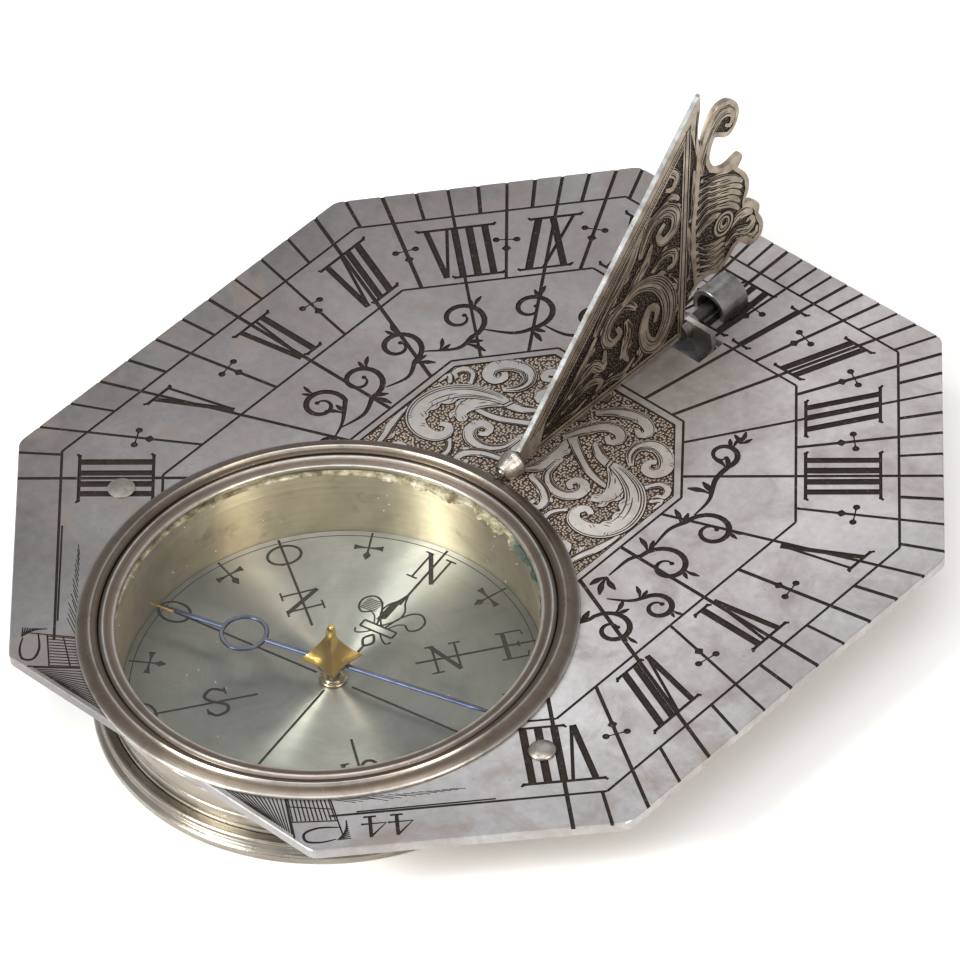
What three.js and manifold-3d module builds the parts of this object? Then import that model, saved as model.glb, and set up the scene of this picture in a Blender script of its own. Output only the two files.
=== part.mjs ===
// Octagonal pocket sundial for one latitude, with a folding gnomon and a compass.
// Millimetres, +Z up, +Y north along the noon line. The origin is the middle of
// the face that the compass box stands on.
import * as THREE from 'three';
import { mergeVertices } from 'three/addons/utils/BufferGeometryUtils.js';
import Module from 'manifold-3d';

// Driving dimensions.
const LATITUDE = THREE.MathUtils.degToRad(44); // slope of the style edge
const PLATE_HALF_WIDTH = 29;
const PLATE_TOP = 7; // height of the plate's upper face above the table
const PLATE_THICKNESS = 0.8;
const COMPASS_TO_CENTRE = 18; // compass axis to the point where the hour lines meet
const BOWL_RADIUS = 14.8; // inside of the compass box
const WALL = 0.9;
const FLOOR_DEPTH = 6.1; // plate's upper face to the engraved compass floor
const GNOMON_HEIGHT = 20.9;
const BLADE_THICKNESS = 0.44;
const HINGE_HEIGHT = 0.6; // gnomon's turning axis above the plate
const CAM_RADIUS = 2.6;
const PIN_RADIUS = 0.36;
const NEEDLE_REACH = 13.4;
const NEEDLE_TAIL = 14.4;
const NEEDLE_HEIGHT = 1.8; // above the compass floor
const NEEDLE_HEADING = THREE.MathUtils.degToRad(16); // from east, anticlockwise
const FIT = 0.05; // clearance between neighbours

// Derived sizes.
const PLATE_UNDERSIDE = -PLATE_THICKNESS;
const BOX_BOTTOM = -PLATE_TOP;
const WALL_OUTSIDE = BOWL_RADIUS + WALL;
const PLATE_HOLE = WALL_OUTSIDE + 0.3;
const NEEDLE_Z = NEEDLE_HEIGHT - FLOOR_DEPTH;

// Facets round a circle, by size.
const FINE = 72;
const MEDIUM = 32;
const SMALL = 16;

const wasm = await Module();
wasm.setup();

// Finishes.
const metal = (color, roughness) => new THREE.MeshStandardMaterial({ color, roughness, metalness: 1 });
const silver = () => metal(0xa8a19c, 0.42);
const darkSilver = () => metal(0x6f645c, 0.5);
const goldenSilver = () => metal(0xb3a78a, 0.38);
const brass = () => metal(0xc79a3c, 0.3);
const steel = () => metal(0x5c6068, 0.35);
const bluedSteel = () => metal(0x27314a, 0.3);
const putty = () => new THREE.MeshStandardMaterial({ color: 0x2e3a30, roughness: 0.9, metalness: 0 });
const clear = () => new THREE.MeshStandardMaterial({
  color: 0xf2f6f4, roughness: 0.05, metalness: 0, transparent: true, opacity: 0.25,
});

function mesh(name, geometry, material) {
  const part = new THREE.Mesh(geometry, material);
  part.name = name;
  return part;
}

// Joining and cutting: a closed geometry becomes a solid and comes back.
function toSolid(geometry) {
  const bare = new THREE.BufferGeometry();
  bare.setAttribute('position', geometry.getAttribute('position').clone());
  if (geometry.index) bare.setIndex(geometry.index.clone());
  const merged = mergeVertices(bare, 1e-4);
  const index = merged.index.array;
  const triangles = [];
  for (let i = 0; i < index.length; i += 3) {
    const [a, b, c] = [index[i], index[i + 1], index[i + 2]];
    if (a !== b && b !== c && c !== a) triangles.push(a, b, c);
  }
  return new wasm.Manifold(new wasm.Mesh({
    numProp: 3,
    vertProperties: new Float32Array(merged.getAttribute('position').array),
    triVerts: new Uint32Array(triangles),
  }));
}

function fromSolid(solid) {
  const { vertProperties, triVerts } = solid.getMesh();
  const geometry = new THREE.BufferGeometry();
  geometry.setAttribute('position', new THREE.BufferAttribute(vertProperties, 3));
  geometry.setIndex(new THREE.BufferAttribute(triVerts, 1));
  return geometry;
}

function join(first, ...others) {
  return fromSolid(others.reduce((sum, g) => sum.add(toSolid(g)), toSolid(first)));
}

function cut(first, ...others) {
  return fromSolid(others.reduce((rest, g) => rest.subtract(toSolid(g)), toSolid(first)));
}

// Shapes.
const point = (x, y) => new THREE.Vector2(x, y);

function circlePath(x, y, radius, facets) {
  const points = [];
  for (let i = 0; i < facets; i += 1) {
    const turn = (2 * Math.PI * i) / facets;
    points.push(point(x + radius * Math.cos(turn), y + radius * Math.sin(turn)));
  }
  return new THREE.Path(points);
}

// A flat piece: its outline lies in XY and it fills the heights z0 to z1.
function slab(shape, z0, z1, curveSegments = 6) {
  const geometry = new THREE.ExtrudeGeometry(shape, { depth: z1 - z0, bevelEnabled: false, curveSegments });
  return geometry.translate(0, 0, z0);
}

// A slab whose outline lies in YZ, filling x0 to x1.
function slabAcross(shape, x0, x1, curveSegments = 6) {
  const geometry = slab(shape, x0, x1, curveSegments);
  const turn = new THREE.Matrix4().makeBasis(
    new THREE.Vector3(0, 1, 0),
    new THREE.Vector3(0, 0, 1),
    new THREE.Vector3(1, 0, 0),
  );
  return geometry.applyMatrix4(turn);
}

// A slab whose outline lies in XZ, filling y0 to y1.
function slabAlong(shape, y0, y1, curveSegments = 6) {
  const geometry = slab(shape, 0, y1 - y0, curveSegments);
  return geometry.rotateX(Math.PI / 2).translate(0, y1, 0);
}

// Turned pieces: profile points are [radius, height], anticlockwise.
function turned(profile, facets) {
  const points = profile.map(([radius, height]) => point(radius, height));
  return new THREE.LatheGeometry(points, facets).rotateX(Math.PI / 2);
}

function turnedRing(profile, facets) {
  return turned([...profile, profile[0]], facets);
}

// A round bar along Y, from y0 to y1, at height z.
function bar(radius, y0, y1, z, facets = SMALL) {
  const geometry = new THREE.CylinderGeometry(radius, radius, y1 - y0, facets);
  return geometry.translate(0, (y0 + y1) / 2, z);
}

// An upright round cutter or shank.
function upright(x, y, radius, z0, z1, facets = SMALL) {
  const geometry = new THREE.CylinderGeometry(radius, radius, z1 - z0, facets);
  return geometry.rotateX(Math.PI / 2).translate(x, y, (z0 + z1) / 2);
}

function block(x0, x1, y0, y1, z0, z1) {
  const geometry = new THREE.BoxGeometry(x1 - x0, y1 - y0, z1 - z0);
  return geometry.translate((x0 + x1) / 2, (y0 + y1) / 2, (z0 + z1) / 2);
}

// Everything on the plate is laid out from the dial centre, at the plate's upper
// face; everything in the compass is laid out from the compass axis, same height.
const dial = new THREE.Group();
dial.position.set(0, COMPASS_TO_CENTRE, PLATE_TOP);
const compass = new THREE.Group();
compass.position.set(0, 0, PLATE_TOP);

// Plate: a long octagon, wider than high at its corners, mirrored in the noon line.
const PLATE_CORNERS = [[14.4, -34.8], [29, -19.2], [29, 13.4], [14.4, 30.3]];
const CORNER_ROUND = 0.5;
const SLOT = { halfWidth: 2.75, south: 17.45, north: 20.05 };
const POST = { y: 0.55, shank: 0.5 };
const COCK = { south: 21.6, north: 24.2, inner: 1.1, outer: 1.5, tenonSouth: 22.3, tenonNorth: 23.3 };
const SPRING_RIVETS = { spring_rivet_south: 8, spring_rivet_north: 10.5 };
const SPRING_RIVET_RADIUS = 0.45;
const BOWL_RIVET_X = 20;
const BOWL_RIVET_RADIUS = 0.6;

function roundedOutline(corners, radius) {
  const shape = new THREE.Shape();
  corners.forEach((corner, i) => {
    const before = corners[(i + corners.length - 1) % corners.length];
    const after = corners[(i + 1) % corners.length];
    const start = corner.clone().add(before.clone().sub(corner).setLength(radius));
    const end = corner.clone().add(after.clone().sub(corner).setLength(radius));
    if (i === 0) shape.moveTo(start.x, start.y);
    else shape.lineTo(start.x, start.y);
    shape.quadraticCurveTo(corner.x, corner.y, end.x, end.y);
  });
  shape.closePath();
  return shape;
}

function makePlate() {
  const scale = PLATE_HALF_WIDTH / PLATE_CORNERS[1][0];
  const east = PLATE_CORNERS.map(([x, y]) => point(x * scale, y * scale));
  const west = [...east].reverse().map((p) => point(-p.x, p.y));
  const outline = roundedOutline([...east, ...west], CORNER_ROUND);
  const drill = (x, y, radius, facets) => upright(x, y, radius, -2, 1, facets);
  const openings = [
    drill(0, -COMPASS_TO_CENTRE, PLATE_HOLE, FINE),
    drill(0, POST.y, POST.shank + FIT),
    drill(-BOWL_RIVET_X, -COMPASS_TO_CENTRE, BOWL_RIVET_RADIUS + FIT),
    drill(BOWL_RIVET_X, -COMPASS_TO_CENTRE, BOWL_RIVET_RADIUS + FIT),
    block(-SLOT.halfWidth, SLOT.halfWidth, SLOT.south, SLOT.north, -2, 1),
  ];
  for (const side of [-1, 1]) {
    const middle = (side * (COCK.inner + COCK.outer)) / 2;
    const half = (COCK.outer - COCK.inner) / 2 + FIT;
    openings.push(block(middle - half, middle + half, COCK.tenonSouth - FIT, COCK.tenonNorth + FIT, -2, 1));
  }
  for (const y of Object.values(SPRING_RIVETS)) openings.push(drill(0, y, SPRING_RIVET_RADIUS + FIT));
  const plate = cut(slab(outline, PLATE_UNDERSIDE, 0, 3), ...openings);
  return mesh('dial_plate', plate, silver());
}

// Compass box: wall with a ledge for the glass, foot moulding, base and rose.
const LEDGE_DEPTH = 0.72; // plate's upper face to the ledge under the glass
const LEDGE_RADIUS = BOWL_RADIUS + 0.5;
const BASE_THICKNESS = 0.45;
const ROSE_THICKNESS = 0.35;
const BUSH = { bore: 0.46, radius: 1, height: 0.45 };

function makeBox() {
  const wallFoot = BOX_BOTTOM + BASE_THICKNESS + FIT;
  const wall = turnedRing([
    [BOWL_RADIUS, wallFoot],
    [WALL_OUTSIDE, wallFoot],
    [WALL_OUTSIDE, 0],
    [LEDGE_RADIUS, 0],
    [LEDGE_RADIUS, -LEDGE_DEPTH],
    [BOWL_RADIUS, -LEDGE_DEPTH],
  ], FINE);
  const base = turned([[0, BOX_BOTTOM], [WALL_OUTSIDE, BOX_BOTTOM],
    [WALL_OUTSIDE, BOX_BOTTOM + BASE_THICKNESS], [0, BOX_BOTTOM + BASE_THICKNESS]], FINE);
  const inner = WALL_OUTSIDE + FIT;
  const outer = WALL_OUTSIDE + 1.15;
  const foot = turnedRing([
    [inner, BOX_BOTTOM],
    [outer - 0.1, BOX_BOTTOM],
    [outer, BOX_BOTTOM + 0.15],
    [outer, BOX_BOTTOM + 0.55],
    [outer - 0.25, BOX_BOTTOM + 0.75],
    [outer - 0.55, BOX_BOTTOM + 1],
    [outer - 0.45, BOX_BOTTOM + 1.3],
    [inner, BOX_BOTTOM + 1.5],
  ], FINE);
  const roseTop = -FLOOR_DEPTH;
  const roseBottom = roseTop - ROSE_THICKNESS;
  const rose = turnedRing([
    [BUSH.bore, roseBottom],
    [BOWL_RADIUS - FIT, roseBottom],
    [BOWL_RADIUS - FIT, roseTop],
    [BUSH.bore, roseTop],
  ], FINE);
  return [
    mesh('bowl_wall', wall, goldenSilver()),
    mesh('base_plate', base, silver()),
    mesh('foot_ring', foot, silver()),
    mesh('rose_plate', rose, goldenSilver()),
  ];
}

// Ring with two ears under the plate, and the rivets through ears and plate.
function makeFlange() {
  const top = PLATE_UNDERSIDE - FIT;
  const bottom = top - 0.6;
  const earEnd = BOWL_RIVET_X + 1.6;
  const earHalf = 1.8;
  const outer = WALL_OUTSIDE + 1.15;
  const meet = Math.asin(earHalf / outer);
  const shape = new THREE.Shape();
  shape.absarc(0, 0, outer, meet, Math.PI - meet, false);
  shape.lineTo(-(earEnd - earHalf), earHalf);
  shape.absarc(-(earEnd - earHalf), 0, earHalf, Math.PI / 2, 1.5 * Math.PI, false);
  shape.absarc(0, 0, outer, Math.PI + meet, 2 * Math.PI - meet, false);
  shape.absarc(earEnd - earHalf, 0, earHalf, 1.5 * Math.PI, 2.5 * Math.PI, false);
  const openings = [upright(0, 0, WALL_OUTSIDE + FIT, bottom - 1, top + 1, FINE)];
  for (const x of [-BOWL_RIVET_X, BOWL_RIVET_X]) {
    openings.push(upright(x, 0, BOWL_RIVET_RADIUS + FIT, bottom - 1, top + 1));
  }
  const flange = cut(slab(shape, bottom, top, 16), ...openings);
  const parts = [mesh('bowl_flange', flange, silver())];
  const head = BOWL_RIVET_RADIUS + 0.35;
  const tail = bottom - FIT;
  const rivet = [
    [0, tail - 0.3],
    [head - 0.2, tail - 0.3],
    [head - 0.05, tail],
    [BOWL_RIVET_RADIUS, tail],
    [BOWL_RIVET_RADIUS, FIT],
    [head, FIT],
    [head - 0.1, 0.2],
    [head * 0.55, 0.34],
    [0, 0.4],
  ];
  for (const [name, x] of [['bowl_rivet_west', -BOWL_RIVET_X], ['bowl_rivet_east', BOWL_RIVET_X]]) {
    const part = mesh(name, turned(rivet, SMALL), silver());
    part.position.x = x;
    parts.push(part);
  }
  return parts;
}

// Bezel on the plate, and the glass with its bed and retaining ring.
function makeBezel() {
  const inner = PLATE_HOLE - 0.05;
  const bezel = turnedRing([
    [inner, FIT],
    [inner + 1.5, FIT],
    [inner + 1.5, 0.2],
    [inner + 1.3, 0.5],
    [inner + 1.05, 0.62],
    [inner + 0.8, 0.42],
    [inner + 0.55, 0.42],
    [inner + 0.35, 0.72],
    [inner + 0.1, 0.72],
    [inner, 0.6],
  ], FINE);
  const keeperOut = inner - 0.15;
  const keeper = turnedRing([
    [BOWL_RADIUS - 0.1, FIT],
    [keeperOut, FIT],
    [keeperOut, 0.4],
    [keeperOut - 0.35, 0.52],
    [BOWL_RADIUS + 0.25, 0.42],
    [BOWL_RADIUS - 0.1, 0.25],
  ], FINE);
  const bedding = turnedRing([
    [BOWL_RADIUS + FIT, FIT - LEDGE_DEPTH],
    [LEDGE_RADIUS - FIT, FIT - LEDGE_DEPTH],
    [LEDGE_RADIUS - FIT, FIT - LEDGE_DEPTH + 0.06],
    [BOWL_RADIUS + FIT, FIT - LEDGE_DEPTH + 0.06],
  ], FINE);
  const glassBottom = 2 * FIT - LEDGE_DEPTH + 0.06;
  const glass = turned([[0, glassBottom], [LEDGE_RADIUS - FIT, glassBottom],
    [LEDGE_RADIUS - FIT, 0], [0, 0]], FINE);
  return [
    mesh('bezel_ring', bezel, darkSilver()),
    mesh('retaining_ring', keeper, darkSilver()),
    mesh('glass_bedding', bedding, putty()),
    mesh('glass', glass, clear()),
  ];
}

// Needle on its point: pivot pin, bush, needle and cap.
const CAP = { shoulder: 2.2, height: 3.4, neck: 0.68, socket: 0.42 };
const PIVOT_TIP = NEEDLE_Z + 0.75;

function makePivot() {
  const foot = BOX_BOTTOM + BASE_THICKNESS + FIT;
  const shank = BUSH.bore - FIT;
  const pin = turned([
    [0, foot],
    [shank, foot],
    [shank, 0.3 - FLOOR_DEPTH],
    [0.2, PIVOT_TIP - 0.9],
    [0.05, PIVOT_TIP],
    [0, PIVOT_TIP],
  ], SMALL);
  const bushBottom = FIT - FLOOR_DEPTH;
  const bush = turnedRing([
    [BUSH.bore, bushBottom],
    [BUSH.radius, bushBottom],
    [BUSH.radius, bushBottom + 0.2],
    [BUSH.radius - 0.25, bushBottom + BUSH.height],
    [BUSH.bore, bushBottom + BUSH.height],
  ], SMALL);
  return [mesh('pivot_pin', pin, steel()), mesh('pivot_bush', bush, brass())];
}

// The needle's outline: arrow towards +X, ring and pointed tail towards -X.
const NEEDLE_RING = { x: -6.9, outer: 1.75, inner: 1.4 };

function makeNeedle() {
  const half = 0.18; // half the width of the arms
  const boss = CAP.neck + 0.45;
  const bossAngle = Math.asin(half / boss);
  const ringAngle = Math.asin(half / NEEDLE_RING.outer);
  const shape = new THREE.Shape();
  shape.moveTo(NEEDLE_REACH, 0);
  shape.lineTo(NEEDLE_REACH - 2.4, half);
  shape.absarc(0, 0, boss, bossAngle, Math.PI - bossAngle, false);
  shape.absarc(NEEDLE_RING.x, 0, NEEDLE_RING.outer, ringAngle, Math.PI - ringAngle, false);
  shape.lineTo(2 - NEEDLE_TAIL, half);
  shape.lineTo(-NEEDLE_TAIL, 0);
  shape.lineTo(2 - NEEDLE_TAIL, -half);
  shape.absarc(NEEDLE_RING.x, 0, NEEDLE_RING.outer, Math.PI + ringAngle, 2 * Math.PI - ringAngle, false);
  shape.absarc(0, 0, boss, Math.PI + bossAngle, 2 * Math.PI - bossAngle, false);
  shape.lineTo(NEEDLE_REACH - 2.4, -half);
  shape.closePath();
  shape.holes.push(circlePath(0, 0, CAP.neck + FIT, SMALL));
  shape.holes.push(circlePath(NEEDLE_RING.x, 0, NEEDLE_RING.inner, MEDIUM));
  const needle = mesh('needle', slab(shape, NEEDLE_Z - 0.1, NEEDLE_Z + 0.1, 12), bluedSteel());

  const seat = NEEDLE_Z + 0.1 + FIT;
  const pyramid = turned([
    [0, seat],
    [CAP.shoulder - 0.35, seat],
    [CAP.shoulder, seat + 0.3],
    [CAP.shoulder * 0.66, seat + 0.9],
    [CAP.shoulder * 0.36, seat + 1.6],
    [0.3, seat + 2.4],
    [0.36, CAP.height + seat - 0.35],
    [0.16, CAP.height + seat],
    [0, CAP.height + seat],
  ], 4).rotateZ(Math.PI / 8);
  const lipTop = NEEDLE_Z - 0.1 - FIT;
  const neck = turned([
    [0, lipTop - 0.3],
    [CAP.neck + 0.15, lipTop - 0.3],
    [CAP.neck + 0.25, lipTop],
    [CAP.neck, lipTop],
    [CAP.neck, seat + 0.2],
    [0, seat + 0.2],
  ], SMALL);
  const socket = turned([
    [0, lipTop - 1],
    [CAP.socket + 0.12, lipTop - 1],
    [CAP.socket + 0.05, lipTop],
    [0.12, PIVOT_TIP + 0.06],
    [0, PIVOT_TIP + 0.06],
  ], SMALL);
  const cap = mesh('needle_cap', cut(join(pyramid, neck), socket), brass());
  const turning = new THREE.Group();
  turning.rotation.z = NEEDLE_HEADING;
  turning.add(needle, cap);
  return turning;
}

// Gnomon blade, outline in (north, height): a straight style, then the scroll,
// head, beak and throat of a bird, back to the foot.
const TOE = 1.5;
const BLADE_BOTTOM = 0.22;
const BLADE_BACK = 19;

function bladeOutline() {
  const apex = point(GNOMON_HEIGHT / Math.tan(LATITUDE), GNOMON_HEIGHT);
  const run = (pairs) => pairs.map(([y, z]) => point(y, z));
  const shape = new THREE.Shape();
  shape.moveTo(TOE, BLADE_BOTTOM);
  shape.lineTo(BLADE_BACK, BLADE_BOTTOM);
  shape.lineTo(BLADE_BACK, 1.9);
  shape.splineThru(run([[19.2, 2.9], [20.2, 3.8], [21.6, 3.9], [22.5, 3.5], [23.4, 3.8], [24.4, 4.6]]));
  shape.splineThru(run([[25.2, 4.4], [26.2, 3.6], [27.2, 3.9], [27.5, 5], [26.95, 6.2]]));
  shape.splineThru(run([[27.1, 7], [26.4, 7.8], [25.6, 8.2]]));
  shape.splineThru(run([[26.1, 9.2], [26.1, 10.4], [25.1, 11.8]]));
  shape.splineThru(run([[25.6, 12.4], [25.2, 12.95], [24.4, 12.8], [23.3, 12.95], [22.5, 13.7],
    [22.2, 14.9], [22.5, 16.1]]));
  shape.splineThru(run([[23.5, 15.5], [24.6, 15.5], [25.4, 16.5], [25.2, 17.8], [24.2, 18.7],
    [22.9, 18.6], [21.9, 18], [21.2, 16.9]]));
  shape.lineTo(apex.x - 0.1, apex.y - 0.9);
  shape.lineTo(apex.x, apex.y);
  shape.lineTo(apex.x - 0.25, apex.y - 0.1);
  shape.lineTo(TOE, TOE * Math.tan(LATITUDE) - 0.1);
  shape.closePath();
  return shape;
}

function makeGnomon() {
  const half = BLADE_THICKNESS / 2;
  const blade = mesh('gnomon_blade', slabAcross(bladeOutline(), -half, half, 2), darkSilver());

  const hub = bar(0.8, SLOT.south + 0.95, SLOT.north - 0.2, HINGE_HEIGHT, MEDIUM);
  const cheek = new THREE.Shape();
  const low = THREE.MathUtils.degToRad(-62);
  const high = THREE.MathUtils.degToRad(18);
  cheek.moveTo(0, HINGE_HEIGHT);
  cheek.absarc(0, HINGE_HEIGHT, CAM_RADIUS, low, high, false);
  cheek.lineTo(0, HINGE_HEIGHT + CAM_RADIUS * Math.sin(high));
  cheek.closePath();
  const cam = slabAlong(cheek, BLADE_BACK + FIT, BLADE_BACK + 0.5, 8);
  const bladeSpace = block(-half - FIT, half + FIT, 0, BLADE_BACK + FIT, BLADE_BOTTOM - FIT, 30);
  const pinHole = bar(PIN_RADIUS + 0.1 + FIT, BLADE_BACK - 0.1, 30, HINGE_HEIGHT);
  const foot = mesh('gnomon_foot', cut(join(hub, cam), bladeSpace, pinHole), darkSilver());

  const northPin = bar(PIN_RADIUS + 0.1, BLADE_BACK + FIT, COCK.north - 0.1, HINGE_HEIGHT);
  const toePin = bar(PIN_RADIUS, -0.46, TOE - FIT, HINGE_HEIGHT);
  return [
    blade,
    foot,
    mesh('north_pin', northPin, steel()),
    mesh('toe_pin', toePin, steel()),
  ];
}

// Bearings of the gnomon: an acorn post at the dial centre and a half-round cock.
function makeBearings() {
  const bore = PIN_RADIUS + FIT;
  const acorn = turnedRing([
    [bore, -0.32],
    [0.55, -0.26],
    [0.82, 0],
    [0.95, 0.45],
    [0.95, 1.2],
    [0.85, 1.35],
    [bore, 1.35],
  ], MEDIUM).rotateX(-Math.PI / 2).translate(0, 0, HINGE_HEIGHT);
  const shank = upright(0, POST.y, POST.shank, PLATE_UNDERSIDE - 0.2, 2 * FIT);
  const tailTop = PLATE_UNDERSIDE - FIT;
  const tail = turned([[0, -1.2], [0.7, -1.2], [0.85, tailTop], [0, tailTop]], SMALL).translate(0, POST.y, 0);
  const below = block(-2, 2, -2, 3, -2, FIT);
  const post = join(cut(acorn, below), shank, tail);

  const arch = new THREE.Shape();
  arch.moveTo(-COCK.outer, FIT);
  arch.lineTo(-COCK.inner, FIT);
  arch.lineTo(-COCK.inner, HINGE_HEIGHT);
  arch.absarc(0, HINGE_HEIGHT, COCK.inner, Math.PI, 0, true);
  arch.lineTo(COCK.inner, FIT);
  arch.lineTo(COCK.outer, FIT);
  arch.lineTo(COCK.outer, HINGE_HEIGHT);
  arch.absarc(0, HINGE_HEIGHT, COCK.outer, 0, Math.PI, false);
  arch.closePath();
  const wall = new THREE.Shape();
  wall.moveTo(-COCK.inner - 0.1, FIT);
  wall.lineTo(COCK.inner + 0.1, FIT);
  wall.absarc(0, HINGE_HEIGHT, COCK.inner + 0.1, 0, Math.PI, false);
  wall.closePath();
  wall.holes.push(circlePath(0, HINGE_HEIGHT, PIN_RADIUS + 0.1 + FIT, SMALL));
  const tenons = [-1, 1].map((side) => {
    const xs = [side * COCK.inner, side * COCK.outer].sort((a, b) => a - b);
    return block(xs[0], xs[1], COCK.tenonSouth, COCK.tenonNorth, PLATE_UNDERSIDE - 0.2, 0.3);
  });
  const cock = join(
    slabAlong(arch, COCK.south, COCK.north, 10),
    slabAlong(wall, COCK.north - 0.45, COCK.north, 10),
    ...tenons,
  );
  return [mesh('south_post', post, silver()), mesh('north_cock', cock, darkSilver())];
}

// Leaf spring under the plate: it presses up on the cam from its riveted end.
function makeSpring() {
  const top = PLATE_UNDERSIDE - FIT;
  const underCam = HINGE_HEIGHT - CAM_RADIUS - 0.1;
  const leaf = 0.3;
  const shape = new THREE.Shape([
    point(6.8, top),
    point(6.8, top - leaf),
    point(11.7, top - leaf),
    point(16.6, underCam - leaf),
    point(21, underCam - leaf),
    point(21, underCam),
    point(16.6, underCam),
    point(11.7, top),
  ]);
  const spring = slabAcross(shape, -1.5, 1.5);
  const holes = Object.values(SPRING_RIVETS).map((y) => (
    upright(0, y, SPRING_RIVET_RADIUS + FIT, -3, 1)
  ));
  const parts = [mesh('leaf_spring', cut(spring, ...holes), steel())];
  const tail = top - leaf - FIT;
  const rivet = turned([
    [0, tail - 0.3],
    [0.55, tail - 0.3],
    [0.75, tail],
    [SPRING_RIVET_RADIUS, tail],
    [SPRING_RIVET_RADIUS, 0],
    [0, 0],
  ], SMALL);
  for (const [name, y] of Object.entries(SPRING_RIVETS)) {
    const part = mesh(name, rivet.clone(), silver());
    part.position.y = y;
    parts.push(part);
  }
  return parts;
}

dial.add(makePlate(), ...makeGnomon(), ...makeBearings(), ...makeSpring());
compass.add(...makeBox(), ...makeFlange(), ...makeBezel(), ...makePivot());
const needleGroup = makeNeedle();
compass.add(needleGroup);

const sundial = new THREE.Group();
sundial.add(dial, compass);

export default sundial;
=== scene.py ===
"""Octagonal silver pocket sundial with a folding gnomon and a glazed compass.

Lengths in the drawing code are millimetres. DIAL is the point of the plate's upper face
where the hour lines meet, and COMPASS is the compass axis at the same height.
"""
import math
import random
from collections import namedtuple

import bpy
from mathutils import Matrix, Vector
from mathutils.geometry import delaunay_2d_cdt


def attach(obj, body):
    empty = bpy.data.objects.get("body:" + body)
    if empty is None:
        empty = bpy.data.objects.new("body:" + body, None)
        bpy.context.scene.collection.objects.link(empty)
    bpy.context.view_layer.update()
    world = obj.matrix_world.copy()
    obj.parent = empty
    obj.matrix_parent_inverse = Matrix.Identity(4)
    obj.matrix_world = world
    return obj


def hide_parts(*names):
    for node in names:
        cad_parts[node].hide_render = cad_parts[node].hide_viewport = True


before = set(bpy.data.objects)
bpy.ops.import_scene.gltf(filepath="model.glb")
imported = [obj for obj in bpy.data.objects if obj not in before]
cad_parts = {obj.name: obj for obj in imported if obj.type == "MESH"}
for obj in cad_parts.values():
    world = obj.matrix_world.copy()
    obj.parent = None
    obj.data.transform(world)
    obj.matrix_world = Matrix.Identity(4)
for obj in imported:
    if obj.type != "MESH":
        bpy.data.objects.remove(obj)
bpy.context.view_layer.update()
scene = bpy.context.scene
rng = random.Random(44)

PLATE_TOP = 7.0
COMPASS_TO_DIAL = 18.0
DIAL = (0.0, COMPASS_TO_DIAL, PLATE_TOP)
COMPASS = (0.0, 0.0, PLATE_TOP)
LATITUDE = math.radians(44)
AXIS_Y = -COMPASS_TO_DIAL  # the compass axis, seen from the dial centre

# Heights are from the plate's upper face.
PLATE_UNDERSIDE = -0.8
BOX_BOTTOM = -PLATE_TOP
ROSE_FACE = -6.1
NEEDLE_Z = -4.3
HINGE_HEIGHT = 0.6
HINGE_UP = PLATE_TOP + HINGE_HEIGHT  # above the table

BOWL_RADIUS = 14.8
WALL_OUTSIDE = 15.7
RIVET_REACH = 20.0  # from the compass axis to each rivet beside it
RIVET_HOLE = 0.65


# ---------------------------------------------------------------- camera and light

def look_from(location, azimuth, elevation, roll, lens):
    data = bpy.data.cameras.new("camera")
    data.lens = lens
    data.sensor_width = 36
    data.clip_start = 0.01
    data.clip_end = 10
    camera = bpy.data.objects.new("camera", data)
    scene.collection.objects.link(camera)
    turn = (Matrix.Rotation(math.radians(azimuth), 4, "Z")
            @ Matrix.Rotation(math.radians(90 - elevation), 4, "X")
            @ Matrix.Rotation(math.radians(roll), 4, "Z"))
    camera.matrix_world = Matrix.Translation(location) @ turn
    scene.camera = camera


def softbox(name, direction, distance, size, watts, color=(1, 1, 1), aim=(0, 0.015, 0.005)):
    data = bpy.data.lights.new(name, "AREA")
    data.shape = "RECTANGLE"
    data.size, data.size_y = size
    data.energy = watts
    data.color = color
    lamp = bpy.data.objects.new(name, data)
    scene.collection.objects.link(lamp)
    way = Vector(direction).normalized()
    lamp.location = Vector(aim) + way * distance
    lamp.rotation_mode = "QUATERNION"
    lamp.rotation_quaternion = way.to_track_quat("Z", "Y")


look_from((0.28704, -0.26539, 0.39559), azimuth=45.61, elevation=43.94, roll=-4.25, lens=300)
softbox("key", (-0.195, -0.762, 0.614), 0.55, (0.12, 0.12), 2.25, (0.97, 1, 0.97))
softbox("high", (-0.351, -0.163, 0.922), 0.45, (0.07, 0.07), 0.2, (0.94, 1, 0.98))
softbox("low", (-0.22, -0.72, 0.38), 0.50, (0.10, 0.08), 0.9, (1, 0.97, 0.90), (0, 0.008, 0.004))
softbox("east", (0.849, -0.075, 0.524), 0.50, (0.09, 0.12), 1.1, (1, 0.90, 0.74))
softbox("back", (-0.40, 0.50, 0.70), 0.60, (0.34, 0.34), 0.16, (0.94, 0.97, 1), (0.045, 0.0, 0.007))
softbox("top", (0.3, -0.25, 1), 0.9, (0.7, 0.7), 3.6)

world = bpy.data.worlds.new("studio")
scene.world = world
world.use_nodes = True
sky = world.node_tree.nodes["Background"].inputs
sky["Color"].default_value = (0.93, 0.95, 1, 1)
sky["Strength"].default_value = 0.55
scene.view_settings.view_transform = "Standard"


# ---------------------------------------------------------------- finishes

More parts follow.
